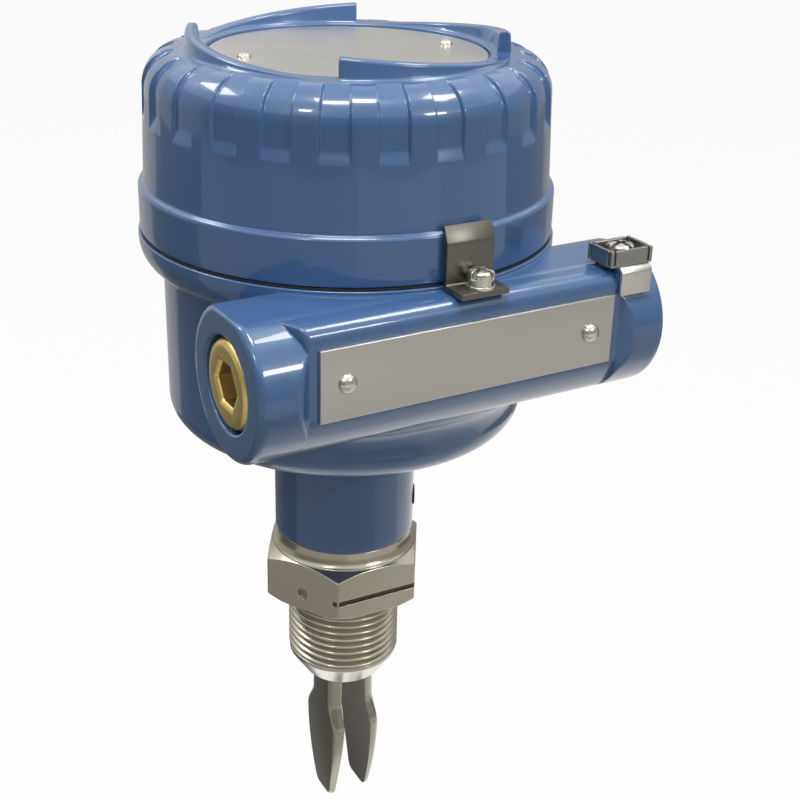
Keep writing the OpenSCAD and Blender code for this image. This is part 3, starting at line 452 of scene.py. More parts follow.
class Rule(Graph):
    """A Geometry Nodes tree with named sizes, run once on a mesh to give a plain mesh."""

    def __init__(self, name):
        super().__init__(bpy.data.node_groups.new(name, "GeometryNodeTree"))
        self.tree.interface.new_socket("Geometry", in_out="OUTPUT", socket_type="NodeSocketGeometry")
        self.tree.interface.new_socket("Geometry", in_out="INPUT", socket_type="NodeSocketGeometry")
        self.source, self.set = self.tree.nodes.new("NodeGroupInput"), {}

    def given(self):
        return Wire(self, self.source, "Geometry")

    def size(self, name, value, kind="NodeSocketFloat"):
        socket = self.tree.interface.new_socket(name, in_out="INPUT", socket_type=kind)
        self.set[socket.identifier] = value
        return Wire(self, self.source, name)

    def made(self, mesh, geometry, material):
        geometry = self.add("GeometryNodeRealizeInstances", (), {"Geometry": geometry})
        geometry = self.add("GeometryNodeSetMaterial", (), {"Geometry": geometry, "Material": material})
        self.add("NodeGroupOutput", (), {"Geometry": geometry})
        carrier = bpy.data.objects.new(self.tree.name, mesh)
        bpy.context.scene.collection.objects.link(carrier)
        modifier = carrier.modifiers.new(self.tree.name, "NODES")
        modifier.node_group = self.tree
        for identifier, value in self.set.items():
            modifier[identifier] = value
        bpy.context.view_layer.update()
        graph = bpy.context.evaluated_depsgraph_get()
        result = bpy.data.meshes.new_from_object(carrier.evaluated_get(graph))
        bpy.data.objects.remove(carrier)
        return result


hex_turn, hex_half, hex_high = math.radians(-2), 21.5, 16
groove_z, groove_half, groove_floor, groove_from = 5.9, 0.75, 20.5, -12.0
dot_z, dot_r, dot_floor, dot_facing = 5.4, 1.65, 20.7, math.radians(210)


def hexagon(u, v, half, k):
    """Field of a hexagon by half its width across flats, with corners rounded by about k."""
    flats = np.abs(v) - half
    for turn in (60, 120):
        c, s = math.cos(math.radians(turn)), math.sin(math.radians(turn))
        flats = trim(flats, np.abs(v * c - u * s) - half, k)
    return flats


def hexagon_field(p):
    x = p[..., 0] * math.cos(hex_turn) + p[..., 1] * math.sin(hex_turn)
    y = p[..., 1] * math.cos(hex_turn) - p[..., 0] * math.sin(hex_turn)
    z, r = p[..., 2], np.hypot(x, y)
    flats = hexagon(x, y, hex_half, 0.35)
    body = trim(flats, (r - 19.3) * 0.5 + (z - hex_high) * 0.866, 0.3)
    body = trim(trim(body, (r - 22.5) * 0.5 - z * 0.866, 0.3), np.maximum(z - hex_high, -z), 0.25)
    # Alignment groove on the front flat, stamped dot on the flat left of it
    groove = np.maximum(np.abs(z - groove_z) - groove_half, y + groove_floor)
    body = trim(body, -np.maximum(groove, groove_from - x), 0.15)
    dx, dy = math.cos(dot_facing), math.sin(dot_facing)
    dot = np.maximum(np.hypot(y * dx - x * dy, z - dot_z) - dot_r, dot_floor - (x * dx + y * dy))
    body = trim(body, -dot, 0.2)
    return np.maximum(body, 8.5 - r)


# The thread's own section is swept up a spiral, one pitch wide, so its crests run true
pitch_mm, crest, turns = 2.309, 16.6, 9.0
thread = Rule("pipe_thread")
rise = thread.size("Rise", mm * pitch_mm * turns)
spiral = thread.add(
    "GeometryNodeCurveSpiral", (),
    {
        "Resolution": 110, "Rotations": turns, "Start Radius": mm * crest, "End Radius": mm * crest,
        "Height": rise, "Reverse": False,
    },
)
spiral = thread.add("GeometryNodeSetCurveNormal", {"mode": "Z_UP"}, {"Curve": spiral})
section = thread.add("GeometryNodeMeshToCurve", (), {"Mesh": thread.given()})
swept = thread.add(
    "GeometryNodeCurveToMesh", (), {"Curve": spiral, "Profile Curve": section, "Fill Caps": True}
)
swept = thread.add(
    "GeometryNodeTransform", (), {"Geometry": swept, "Translation": (0, 0, -mm * pitch_mm * turns - 0.0012)}
)
flank = [(0.18, 0.07), (0.36, 0.26), (0.55, 0.55), (1.0, 1.32), (1.16, 1.5)]
ridge = [(-up, deep) for up, deep in flank[::-1]] + [(0, 0.02)] + flank + [(1.16, 3.2), (-1.16, 3.2)]
thread_section = bpy.data.meshes.new("thread_section")
thread_section.from_pydata(
    [(mm * deep, mm * up, 0) for up, deep in ridge],
    [(i, (i + 1) % len(ridge)) for i in range(len(ridge))], [],
)

stainless = Finish("turned_stainless", Metallic=1.0)
lathe_lines = stainless.noise(60, 2, (0.2, 0.2, 60))
spot = stainless.place()
place = stainless.add("ShaderNodeSeparateXYZ", (), {0: spot})


def ramp(finish, value, start, end):
    """0 to 1 as a value goes from start to end, in millimetres."""
    values = {"Value": value, "From Min": mm * start, "From Max": mm * end}
    return finish.add("ShaderNodeMapRange", (), values)


# The nose is tinted paler from 22 mm down, a painted reflection of the bright table below it
painted_nose_reflection = ramp(stainless, place.out(2), -22.2, -23.4)
tone_and_nose_reflection = stainless.blend(
    0.25 * stainless.noise(35, 2) + 0.75 * painted_nose_reflection, (0.45, 0.41, 0.33), (0.92, 0.90, 0.86)
)
# Painted shade: the groove on the front flat and the stamped dot are darkened and made rougher in their
# hollows
within = ramp(stainless, stainless.math("ABSOLUTE", place.out(2) - mm * groove_z), 0.85, 0.7)
behind = ramp(stainless, place.out(1) - place * math.tan(hex_turn), -21.45, -21.2)
in_front = stainless.math("LESS_THAN", place.out(1), mm * -19.5)
dot_turn, dot_far = dot_facing + hex_turn, 21.2
dot_spot = [mm * c for c in (dot_far * math.cos(dot_turn), dot_far * math.sin(dot_turn), dot_z)]
away = stainless.add("ShaderNodeVectorMath", {"operation": "DISTANCE"}, {0: spot, 1: dot_spot}).out("Value")
stamped = ramp(stainless, away, 1.8, 1.3)
painted_recess_shade = stainless.math("MAXIMUM", within * behind * in_front * 0.9, stamped * 0.45)
stainless.tint(painted_recess_shade, tone_and_nose_reflection, (0.07, 0.062, 0.05))
stainless.feed("Roughness", 0.17 + 0.14 * lathe_lines + 0.2 * painted_recess_shade)
stainless.bump(lathe_lines, 0.10, 0.0001)

nose = turned(rounded([
    (8.6, -25.9, 0), (10.25, -25.9, 0), (10.25, -30, 0.2), (11.8, -30, 0.35), (16.35, -23.2, 0.3),
    (16.3, -22.2, 0.2), (14.6, -21.0, 0), (14.6, 0.6, 0), (8.6, 0.6, 0),
], 0.12))
cove = [(19.4 + 1.8 * t * t, 19.2 - 6.2 * t * (1 - t) - 4.3 * t * t, 0) for t in np.linspace(1, 0, 10)]
collar = turned(rounded([
    (8.5, 14.4, 0), (20.6, 14.4, 0), *cove, (19.3, 19.5, 0), (18.2, 19.5, 0.1), (18.2, 17.8, 0),
    (16.2, 17.8, 0), (16.2, 19.5, 0.1), (15, 19.5, 0), (15, 34.3, 0.4), (8.5, 34.3, 0),
], 0.12))
piece(
    "process_connection_turning",
    joined(
        "connection", carve(hexagon_field, (-25, -22.5, 0), (25, 22.5, 16), 0.5, 2, 14, 0.02),
        thread.made(thread_section, swept, stainless.material), nose, collar,
    ),
    stainless.material, "base", "connection_steel", "process_connection",
)

# Fork
# The fork is ground from one piece of stainless: a disc welded into the nose, and two leaf shaped
# tines with flat faces towards each other, widest two fifths of the way down and thin at the tips.

swell_from, widest, tine_top, tine_long = 0.22, 0.42, -29.6, 47.4


def leaf(root, wide, tip, t):
    """Width of a tine down its length: straight root, eased swell, then a long fall to the tip."""
    if t < widest:
        s = min(max((t - swell_from) / (widest - swell_from), 0), 1)
        return root + (wide - root) * (1 - math.cos(math.pi * s)) / 2
    return wide + (tip - wide) * ((t - widest) / (1 - widest)) ** 1.6


def tine_mesh(side):
    """One tine, flat towards the other and rounded outwards; side is 1 or -1."""
    rows, edge, lip = 90, 14, 0.25
    c, s = math.cos(hex_turn), math.sin(hex_turn)
    net, rings = bmesh.new(), []
    for i in range(rows + 1):
        t = i / rows
        gap = 3.75 + 1.45 * (1 - math.cos(math.pi * min(t * 1.1, 1))) / 2
        thick = 4 - 2.5 * (max(t - 0.14, 0) / 0.86) ** 1.3
        # The tip's corners are rounded off over the last stretch
        soft = 1 - math.sqrt(1 - min(max((t - 0.955) / 0.045, 0.0), 1.0) ** 2)
        inner = leaf(15.0, 21.4, 10.6, t) / 2 - 1.6 * soft
        outer = leaf(7.6, 17.2, 8.4, t) / 2 - 1.2 * soft
        section = [(gap + 0.02, inner - 2 * lip)]
        section += [
            (gap + lip - lip * math.cos(a), inner - lip + lip * math.sin(a)) for a in np.linspace(0, 1.4, 5)
        ]
        section += [
            (gap + lip + (thick - lip) * math.sin(a), outer + (inner - outer) * math.cos(a))
            for a in np.linspace(0.12, math.pi / 2, edge)
        ]
        section += [(x, -y) for x, y in section[::-1]]
        z = mm * (tine_top - tine_long * t)
        rings.append([
            net.verts.new((mm * (side * x * c - y * s), mm * (side * x * s + y * c), z)) for x, y in section
        ])
    skin(net, rings)
    net.faces.new(rings[0])
    net.faces.new(rings[-1])
    bmesh.ops.recalc_face_normals(net, faces=net.faces)
    return smooth("tine", net, 50)


ground = Finish("ground_stainless", Metallic=1.0)
grind = ground.noise(40, 3, (30, 30, 1))
ground.tint(ground.noise(50, 2, (1, 1, 0.5)), (0.40, 0.375, 0.315), (0.50, 0.475, 0.41))
ground.feed("Roughness", 0.16 + 0.10 * grind)
ground.bump(grind, 0.08, 0.0001)
disc = turned(rounded([
    (0, -30, 0), (10.2, -30, 0.25), (10.2, -26, 0.2), (2.4, -26, 0), (2.4, -5.9, 0.3), (0, -5.9, 0),
], 0.1), 96)
piece(
    "fork_tines", joined("fork", tine_mesh(1), tine_mesh(-1), disc), ground.material, "base", "fork_steel",
    "fork",
)

# Cover seal
# A flat black rubber ring, a little rounded at its edge, is nipped between flange and cover.
# The neck's own ring, out of sight, is of the same rubber.

rubber = Finish("black_rubber", Specular_IOR_Level=0.35)
rubber.tint(rubber.noise(300, 3), (0.010, 0.010, 0.011), (0.020, 0.020, 0.022))
rubber.feed("Roughness", 0.45 + 0.2 * rubber.noise(900, 2))
piece(
    "cover_seal_ring",
    turned(rounded([(50.2, 111.6, 0), (54.6, 111.6, 0.25), (54.6, 112.3, 0.25), (50.2, 112.3, 0)], 0.1), 192),
    rubber.material, "base", "black_rubber", "cover_seal",
)


def dress(material, *nodes):
    """CAD nodes that are shown as they are get their material."""
    for name in nodes:
        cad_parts[name].data.materials.clear()
        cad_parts[name].data.materials.append(material)


dress(rubber.material, "neck_seal")

# Cover
# The cover is a second casting, screwed onto the housing by a thread inside its skirt. Its shoulder
# has a ring of cast notches for grip, and four lugs on top run out like ramps for a wrench.

notch_count, notch_wide, notch_deep = 24, 7.75, 0.95
shoulder_x, shoulder_z, shoulder_r, lid_top = 43.6, 148.9, 8.8, 157.7
cover_rest = math.radians(-1.5)
outer = [(50.5, 112.4), (54.2, 112.4), (54.45, 112.45), (54.65, 112.65), (54.7, 112.9), (54.7, 115)]
outer += [(54.7, 122.9), (54.7, 123.2)]
outer += [(53.5 + 1.2 * math.cos(a), 123.3 + 1.2 * math.sin(a)) for a in np.linspace(0.15, 1.45, 6)]
outer += [(53.62, 124.5), (53.4, 124.6), (53.3, 124.85), (53.27, 125.2)]


def wall_r(z):
    """Radius of the drafted wall between the step and the shoulder."""
    return 53.3 + (52.4 - 53.3) * (z - 124.5) / (shoulder_z - 124.5)


# Rows of the wall, each with the share of a notch's depth that it takes: a notch has a slanted foot
foot = {
    140.6: 0, 140.85: 0.02, 141.05: 0.07, 141.5: 0.21, 142.2: 0.45, 142.9: 0.69, 143.5: 0.90, 143.75: 0.96,
    144: 0.99,
}
outer += [(wall_r(z), z) for z in (128, 132, 136, 139, 140.2)]
first_notched = len(outer)
outer += [(wall_r(z), z) for z in (*foot, 144.4, 145.2, 146.4, 147.8)]
arc = np.radians((0, 4, 9, 14, 20, 26, 32, 38, 44, 50, 56, 62, 68, 73, 78, 82, 85, 87, 88, 88.7, 89.3, 89.9))
outer += [(shoulder_x + shoulder_r * math.cos(a), shoulder_z + shoulder_r * math.sin(a)) for a in arc]
last_notched = len(outer) - 1
outer += [(43.4, lid_top), (43.0, lid_top), (42, lid_top), (37.2, lid_top), (36.75, lid_top)]
quarter = np.linspace(0, math.pi / 2, 5)
outer += [(36.7 - 0.5 * math.sin(a), lid_top - 0.5 + 0.5 * math.cos(a)) for a in quarter]
outer += [(36.2, 156.3), (36.2, 156.02), (35.9, 156), (0, 156)]
# Inside: roof, fillet, wall and the relief above the thread
roof_z, bore_r, fillet_r = 151.5, 48.4, 6
inner = [
    (bore_r - fillet_r + fillet_r * math.sin(a), roof_z - fillet_r + fillet_r * math.cos(a))
    for a in np.linspace(0, math.pi / 2, 10)
]
outline = outer + [(0, roof_z), *inner, (bore_r, 129.0), (50.5, 127.0)]

step = 360 / notch_count
side = notch_wide / 2
offsets = [-7.5, -6.6, -5.6, -4.8]
offsets += [-side + d for d in (-0.5, -0.32, -0.2, -0.1, 0.0, 0.1, 0.2, 0.32, 0.5)] + [-2.6, -1.3, 0.0]
offsets += [-d for d in offsets[1:-1][::-1]]
columns = [k * step + d for k in range(notch_count) for d in offsets]
row_share = np.zeros(len(outline))
row_share[first_notched:last_notched + 1] = 1
row_share[first_notched:first_notched + len(foot)] = list(foot.values())
row_share[last_notched - 9:last_notched + 1] = (0.92, 0.8, 0.6, 0.42, 0.27, 0.15, 0.09, 0.05, 0.02, 0)

net = bmesh.new()
share = net.verts.layers.float.new("notch_row")
rings = []
for (r, z), part in zip(outline, row_share):
    ring = []
    for turn in columns:
        v = net.verts.new((
            mm * r * math.cos(math.radians(turn)), mm * r * math.sin(math.radians(turn)), mm * z))
        v[share] = part
        ring.append(v)
    rings.append(ring)
skin(net, rings, closed=True)
bmesh.ops.remove_doubles(net, verts=net.verts, dist=1e-7)
bmesh.ops.recalc_face_normals(net, faces=net.faces)
bell = smooth("cover_bell", net)

# Each notch sinks the shoulder along its own curve, over a band of angles that repeats
grip = Rule("cover_grip")
count, width = grip.size("Notches", float(notch_count)), grip.size("Width", math.radians(notch_wide))
depth, turn = grip.size("Depth", mm * notch_deep), grip.size("Turn", cover_rest)
soft = grip.size("Wall", math.radians(0.34))
place = grip.add("ShaderNodeSeparateXYZ", (), {0: grip.add("GeometryNodeInputPosition")})
x, y, z = place, place.out(1), place.out(2)
radius = grip.math("SQRT", x * x + y * y)
angle = grip.math("ARCTAN2", y, x)
pitch = 2 * math.pi / count
off = grip.math("ABSOLUTE", (grip.math("FRACT", angle / pitch + 0.5 + 2.0 * count) - 0.5) * pitch)
band = grip.add(
    "ShaderNodeMapRange", {"interpolation_type": "SMOOTHSTEP"},
    {"Value": off, "From Min": width * 0.5 + soft, "From Max": width * 0.5 - soft},
)
row = grip.add("GeometryNodeInputNamedAttribute", {"data_type": "FLOAT"}, {"Name": "notch_row"})
sink = band * row * depth
dr, dz = radius - mm * shoulder_x, grip.math("MAXIMUM", z - mm * shoulder_z, 0.0)
share = sink / grip.math("MAXIMUM", grip.math("SQRT", dr * dr + dz * dz), 1e-6)
moved = (radius - dr * share) / grip.math("MAXIMUM", radius, 1e-6)
spot = grip.add("ShaderNodeCombineXYZ", (), {0: x * moved, 1: y * moved, 2: z - dz * share})
gripped = grip.add("GeometryNodeSetPosition", (), {"Geometry": grip.given(), "Position": spot})
aim = grip.add("ShaderNodeCombineXYZ", (), {2: turn})
gripped = grip.add("GeometryNodeTransform", (), {"Geometry": gripped, "Rotation": aim})
bell = grip.made(bell, gripped, enamel.material)


def lug_mesh():
    """One lug from its tall end at angle 0 to where it runs out, foot sunk into the cover's top."""
    long, tall, inside, outside = 80.0, 5.2, 37.9, 41.5
    mid = (inside + outside) / 2
    a, b = np.array((mid, 0)), mid * np.array((math.cos(math.radians(long)), math.sin(math.radians(long))))
    run = np.linalg.norm(b - a)
    net, rings = bmesh.new(), []
    stations = [(0.0, 0.55), (0.10, 0.25), (0.28, 0.08), (0.6, 0.0)]
    stations += [(turn, 0) for turn in np.linspace(1.6, long, 60)]
    for turn, draw in stations:
        c, s = math.cos(math.radians(turn)), math.sin(math.radians(turn))
        along = (mid * np.array((c, s)) - a) @ (b - a) / run
        high = max(tall * (1 - along / run), 0.03) - draw
        rim = min(1.0, high * 0.55)
        lean = 0.35 * min(high / tall, 1)
        w0, w1 = inside + draw, outside - draw
        foot = min(0.9, high * 0.6)
        half = [(w0 - foot, -0.25), (w0 - foot * 0.55, 0.06 * foot), (w0 - foot * 0.22, 0.25 * foot)]
        half += [(w0, 0.75 * foot), (w0 + lean * 0.85, high - rim * 1.15)]
        half += [
            (w0 + lean + rim - rim * math.cos(t), high - rim + rim * math.sin(t))
            for t in np.linspace(0, math.pi / 2, 6)
        ]
        section = half + [(w0 + w1 - r, h) for r, h in half[::-1]]
        rings.append([net.verts.new((mm * r * c, mm * r * s, mm * (lid_top + h))) for r, h in section])
    skin(net, rings)
    bmesh.ops.recalc_face_normals(net, faces=net.faces)
    caps = [net.faces.new([net.verts.new(v.co) for v in row]) for row in (rings[0][::-1], rings[-1])]
    net.normal_update()
    if caps[0].normal.y > 0:
        bmesh.ops.reverse_faces(net, faces=caps)
    return smooth("lug", net)


ring = Rule("cover_lugs")
lug_count = 4
count = ring.size("Lugs", lug_count, "NodeSocketInt")
first = ring.size("First", math.radians(60) + cover_rest)
spots = ring.add("GeometryNodeMeshLine", (), {"Count": count, "Offset": (0, 0, 0)})
aim = ring.add(
    "ShaderNodeCombineXYZ", (), {2: first + ring.add("GeometryNodeInputIndex") * (2 * math.pi / lug_count)}
)
lugs = ring.add(
    "GeometryNodeInstanceOnPoints", (), {"Points": spots, "Instance": ring.given(), "Rotation": aim}
)
lugs = ring.made(lug_mesh(), lugs, enamel.material)
piece(
    "cover_casting", joined("cover", bell, lugs), enamel.material, "cover", "blue_paint", "cover"
)

# Cover disc and nameplate
# Both plates are thin stainless sheet, cut out, brushed one way and left bare. Each is held by two
# domed drive pins, plated bright, hammered through the sheet into the casting.


def slab(name, corners, push, soft, steps, rim, crease):
    """A flat outline, in metres, pushed out to a sheet; edges sharper than rim are broken by soft."""
    net = bmesh.new()
    face = net.faces.new([net.verts.new(corner) for corner in corners])
    lifted = bmesh.ops.extrude_face_region(net, geom=[face])["geom"]
    bmesh.ops.translate(net, vec=push, verts=[v for v in lifted if isinstance(v, bmesh.types.BMVert)])
    bmesh.ops.recalc_face_normals(net, faces=net.faces)
    bmesh.ops.bevel(
        net, geom=[e for e in net.edges if e.calc_face_angle(0) > rim], offset=soft, segments=steps,
        profile=0.5, affect="EDGES", clamp_overlap=True,
    )
    return smooth(name, net, crease)


def brushed(name, low, high, rough, stretch, depth=0.00006):
    """Bare sheet steel brushed along one direction, cloudy where it has been handled."""
    made = Finish(name, Metallic=1.0)
    grain = made.noise(30, 4, stretch)
    made.tint(0.55 * made.noise(28, 3) + 0.45 * grain, low, high)
    made.feed("Roughness", rough + 0.10 * grain + 0.10 * made.noise(45, 3))
    made.bump(grain, 0.12, depth)
    return made.material


plate_steel = brushed("brushed_plate", (0.52, 0.50, 0.46), (0.66, 0.645, 0.61), 0.32, (1, 120, 120))
disc_steel = brushed("brushed_disc", (0.58, 0.565, 0.54), (0.72, 0.705, 0.68), 0.26, (1, 110, 110))
disc_r, disc_from, disc_top = 35.8, 156.02, 157
disc_edge = [(0, disc_from, 0), (disc_r, disc_from, 0.1), (disc_r, disc_top, 0.25), (0, disc_top, 0)]
lid_disc = turned(rounded(disc_edge, 0.15), 160)
piece("cover_disc_sheet", lid_disc, disc_steel, "cover", "plate_steel", "cover_disc")
plate_half, plate_rise, plate_thick = 41.1, 8.95, 1.0
corners = [(mm * plate_half * i, mm * plate_rise * j, 0) for i, j in ((-1, -1), (1, -1), (1, 1), (-1, 1))]
plate = slab("plate", corners, (0, 0, mm * plate_thick), mm * 0.22, 3, 0.7, 32)
plate.transform(Matrix.Translation((0, -mm * face_out, mm * plate_z)) @ Matrix.Rotation(math.pi / 2, 4, "X"))
piece("nameplate_sheet", plate, plate_steel, "base", "plate_steel", "nameplate")

bright = Finish("bright_plating", Metallic=1.0)
bright.tint(bright.noise(260, 3), (0.62, 0.58, 0.47), (0.80, 0.77, 0.68))
bright.feed("Roughness", 0.12 + 0.14 * bright.noise(500, 3))


def pin_mesh(head):
    """One drive pin, head standing on z = 0: low dome with a rolled rim."""
    dome = [(head * math.sin(a), 0.7 * head * math.cos(a)) for a in np.linspace(0, 1.45, 10)]
    return turned(dome + [(head + 0.02, 0.12), (head - 0.1, 0.0), (1.2, 0.0), (1.2, -4.2), (0, -4.2)], 32)


def pin_pair(name, head, middle, reach, facing):
    """Two pins at plus and minus reach from middle, turned to the way they face."""
    pair = Rule(name)
    start = pair.size("Start", tuple(mm * (m - r) for m, r in zip(middle, reach)), "NodeSocketVector")
    apart = pair.size("Apart", tuple(2 * mm * r for r in reach), "NodeSocketVector")
    spots = pair.add(
        "GeometryNodeMeshLine", {"mode": "OFFSET"}, {"Count": 2, "Start Location": start, "Offset": apart}
    )
    pins = pair.add(
        "GeometryNodeInstanceOnPoints", (), {"Points": spots, "Instance": pair.given(), "Rotation": facing}
    )
    return pair.made(pin_mesh(head), pins, bright.material)


disc_pin_turn, disc_pin_far = math.radians(-4), 28.2
disc_reach = (disc_pin_far * math.cos(disc_pin_turn), disc_pin_far * math.sin(disc_pin_turn), 0)
piece(
    "cover_disc_rivets", pin_pair("disc_pins", 1.8, (0, 0, disc_top), disc_reach, (0, 0, 0)),
    bright.material, "cover", "pin_steel", "cover_disc_pins",
)
plate_middle = (0, -face_out - plate_thick, plate_z)
piece(
    "nameplate_rivets", pin_pair("plate_pins", 2.4, plate_middle, (plate_pin_x, 0, 0), (math.pi / 2, 0, 0)),
    bright.material, "base", "pin_steel", "nameplate_pins",
)

# Cover clamp
# The clamp is a bent strip of satin stainless that hooks over the cover's step, so the cover can't
# be unscrewed until the pan head screw, spring washer and flat washer that hold it are slackened.


def strip_mesh(path, thick, wide, middle):
    """Sheet strip along an open path of (y, z, bend radius) millimetres, wide along X about middle."""
    line = rounded([(*path[0][:2], 0)] + list(path[1:-1]) + [(*path[-1][:2], 0)])
    forward = np.gradient(line, axis=0)
    forward /= np.linalg.norm(forward, axis=1)[:, None]
    aside = np.stack((-forward[:, 1], forward[:, 0]), 1) * thick / 2
    outline = np.concatenate((line + aside, (line - aside)[::-1]))
    corners = [(mm * (middle - wide / 2), mm * y, mm * z) for y, z in outline]
    return slab("strip", corners, (mm * wide, 0, 0), mm * 0.18, 2, 0.9, 35)


satin = brushed("satin_strip", (0.15, 0.143, 0.125), (0.22, 0.21, 0.185), 0.26, (60, 60, 2))
clamp_path = [(-64.2, 111.55, 0), (-56.2, 111.55, 1.25), (-56.2, 122.2, 2.2), (-54.5, 126.2, 0)]
piece(
    "cover_clamp_strip", strip_mesh(clamp_path, 1.5, 13.2, 2.5), satin, "base", "clamp_steel", "cover_clamp"
)


def screw_field(head_r, head_h, shank_r, length, turn):
    """Pan head screw, head standing on z = 0, with a cross recess."""

    def field(p):
        x = p[..., 0] * math.cos(turn) + p[..., 1] * math.sin(turn)
        y = p[..., 1] * math.cos(turn) - p[..., 0] * math.sin(turn)
        z, r = p[..., 2], np.hypot(x, y)
        head = trim(trim(r - head_r, np.sqrt(r * r + (z + 9) ** 2) - 9 - head_h, 0.8), -z, 0.3)
        cross = np.maximum(np.minimum(np.abs(x), np.abs(y)) - 0.62, head_h * 0.25 - z)
        head = trim(head, -cross, 0.15)
        return np.minimum(head, np.maximum(r - shank_r, np.maximum(z - 0.5, -length - z)))

    return field


nickel = Finish("bright_nickel", Metallic=1.0)
nickel.tint(nickel.noise(300, 3), (0.56, 0.54, 0.48), (0.76, 0.74, 0.68))
nickel.feed("Roughness", 0.16 + 0.16 * nickel.noise(700, 3))


def screw_piece(name, node, spot, head_r, shank_r, length, turn):
    head_h, reach = 2.8, 4.5
    field = screw_field(head_r, head_h, shank_r, length, turn)
    mesh = carve(field, (-reach, -reach, -length), (reach, reach, head_h), 0.36, 1, 20, 0.02)
    mesh.transform(Matrix.Translation(Vector(spot) * mm))
    piece(name, mesh, nickel.material, "base", "screw_steel", node)


clamp_x, clamp_y, washer_z, washer_top = 3, -60.85, 112.3, 113.1
screw_piece("clamp_screw_pan", "clamp_screw", (clamp_x, clamp_y, 114.1), 3.3, 2.0, 3.3, math.radians(25))
washer_edge = [(2.15, washer_z, 0.1), (3.6, washer_z, 0.15), (3.6, washer_top, 0.15), (2.15, washer_top, 0.1)]
flat_washer = turned(rounded(washer_edge, 0.05), 64)
flat_washer.transform(Matrix.Translation((mm * clamp_x, mm * clamp_y, 0)))
piece("clamp_washer_flat", flat_washer, nickel.material, "base", "screw_steel", "clamp_flat_washer")
dress(nickel.material, "clamp_spring_washer", "earth_washer")

# Earth terminal
# The earth terminal is a folded sheet cage round a pan head screw, so a wire can't creep out from
# under it; a plated strip below it bends over the bar's edge and keeps the cage from turning.

tongue_steel = brushed("plated_tongue", (0.60, 0.585, 0.55), (0.74, 0.725, 0.69), 0.26, (60, 60, 2))
tongue_path = [(-53.8, 111.3, 0), (-64.4, 111.3, 1.3), (-64.4, 104.6, 0)]
piece(
    "earth_bracket_strip", strip_mesh(tongue_path, 1.0, 9.4, pad_x), tongue_steel, "base", "plate_steel",
    "earth_bracket",
)
cage_z, cage_long, cage_wide, cage_high, cage_wall, cage_slit = 111.8, 6.5, 4.8, 4.2, 1.0, 0.5


def cage_field(p):
    x, y, z = np.abs(p[..., 0] - earth_x), np.abs(p[..., 1] - earth_y), p[..., 2] - cage_z
    past_x, past_y = x - cage_long + cage_wall, y - cage_wide + cage_wall
    box = np.maximum(trim(x - cage_long, y - cage_wide, 0.3), np.maximum(z - cage_high, -z))
    box = trim(box, -trim(trim(past_x, past_y, 0.3), cage_wall - z, 0.4), 0.25)
    # Slits at the corners, where the folded walls meet
    slit = np.maximum(np.maximum(-cage_slit - past_x, -cage_slit - past_y), np.minimum(past_x, past_y))
    box = trim(box, -np.maximum(slit, 0.4 - z), 0.2)
    return np.maximum(box, tapped_r - np.hypot(x, y))


pressed = brushed("pressed_steel", (0.26, 0.255, 0.24), (0.40, 0.39, 0.365), 0.30, (4, 4, 60))
piece(
    "earth_cage_folded", carve(cage_field, (39.6, -63.5, 111.8), (52.8, -53.7, 116), 0.42, 1, 20, 0.02),
    pressed, "base", "cage_steel", "earth_cage",
)
screw_piece("earth_screw_pan", "earth_screw", (earth_x, earth_y, 113.8), 3.5, 2.0, 8.0, math.radians(12))

# Plug and set screw
# The unused cable entry is stopped with a turned brass plug, screwed in flush by a hexagon socket.
# A dark grub screw in the neck locks the process connection.

plug_long, socket_half, socket_deep = 13, 5.0, 8


def plug_field(p):
    deep, y, z = p[..., 0] + bar_half, p[..., 1] + bar_out, p[..., 2] - bar_z
    r = np.hypot(y, z)
    body = trim(np.maximum(r - 11.55, deep - plug_long), (r - 10.0) * 0.707 - deep * 0.707, 2.0)
    body = trim(body, -deep, 1.2)
    spread = np.clip(0.9 - deep, 0, 0.9) * 0.6
    socket = hexagon(y, z, socket_half, 0.5)
    return trim(body, -np.maximum(socket - spread, deep - socket_deep), 0.9)


brass = Finish("turned_brass", Metallic=1.0)
rings_brass = brass.noise(70, 2, (40, 1, 1))
face = brass.blend(brass.noise(90, 3), (0.86, 0.66, 0.20), (0.96, 0.79, 0.33))
# The socket's walls are tinted darker and greyer, painted shade in the hollow
inward = brass.add("ShaderNodeSeparateXYZ", (), {0: brass.place()})
sunk = ramp(brass, inward, 0.8 - bar_half, 2.5 - bar_half)
brass.tint(sunk * 0.7, face, (0.60, 0.53, 0.42))
brass.feed("Roughness", 0.22 + 0.16 * rings_brass)
brass.bump(rings_brass, 0.08, 0.0001)
piece(
    "conduit_plug_brass", carve(plug_field, (-57, -59.3, 82), (-43.8, -35.9, 105.5), 0.55, 2, 16, 0.02),
    brass.material, "base", "plug_brass", "conduit_plug",
)
dark = Finish("dark_grub_steel", Metallic=1.0)
dark.tint(dark.noise(300, 3), (0.05, 0.05, 0.055), (0.11, 0.11, 0.115))
dark.feed("Roughness", 0.32 + 0.2 * dark.noise(600, 2))
dress(dark.material, "neck_set_screw")

# Electronics
# Under the cover: a moulded cassette with its terminals, mode dial and status light, and down in
# the connection the clamped stack of ceramic rings and brass electrodes that drives the fork.


def moulded(name, low, high, rough):
    made = Finish(name)
    made.tint(made.noise(120, 3), low, high)
    made.feed("Roughness", rough + 0.12 * made.noise(700, 2))
    made.bump(made.noise(1500, 2), 0.15, 0.00005)
    return made.material


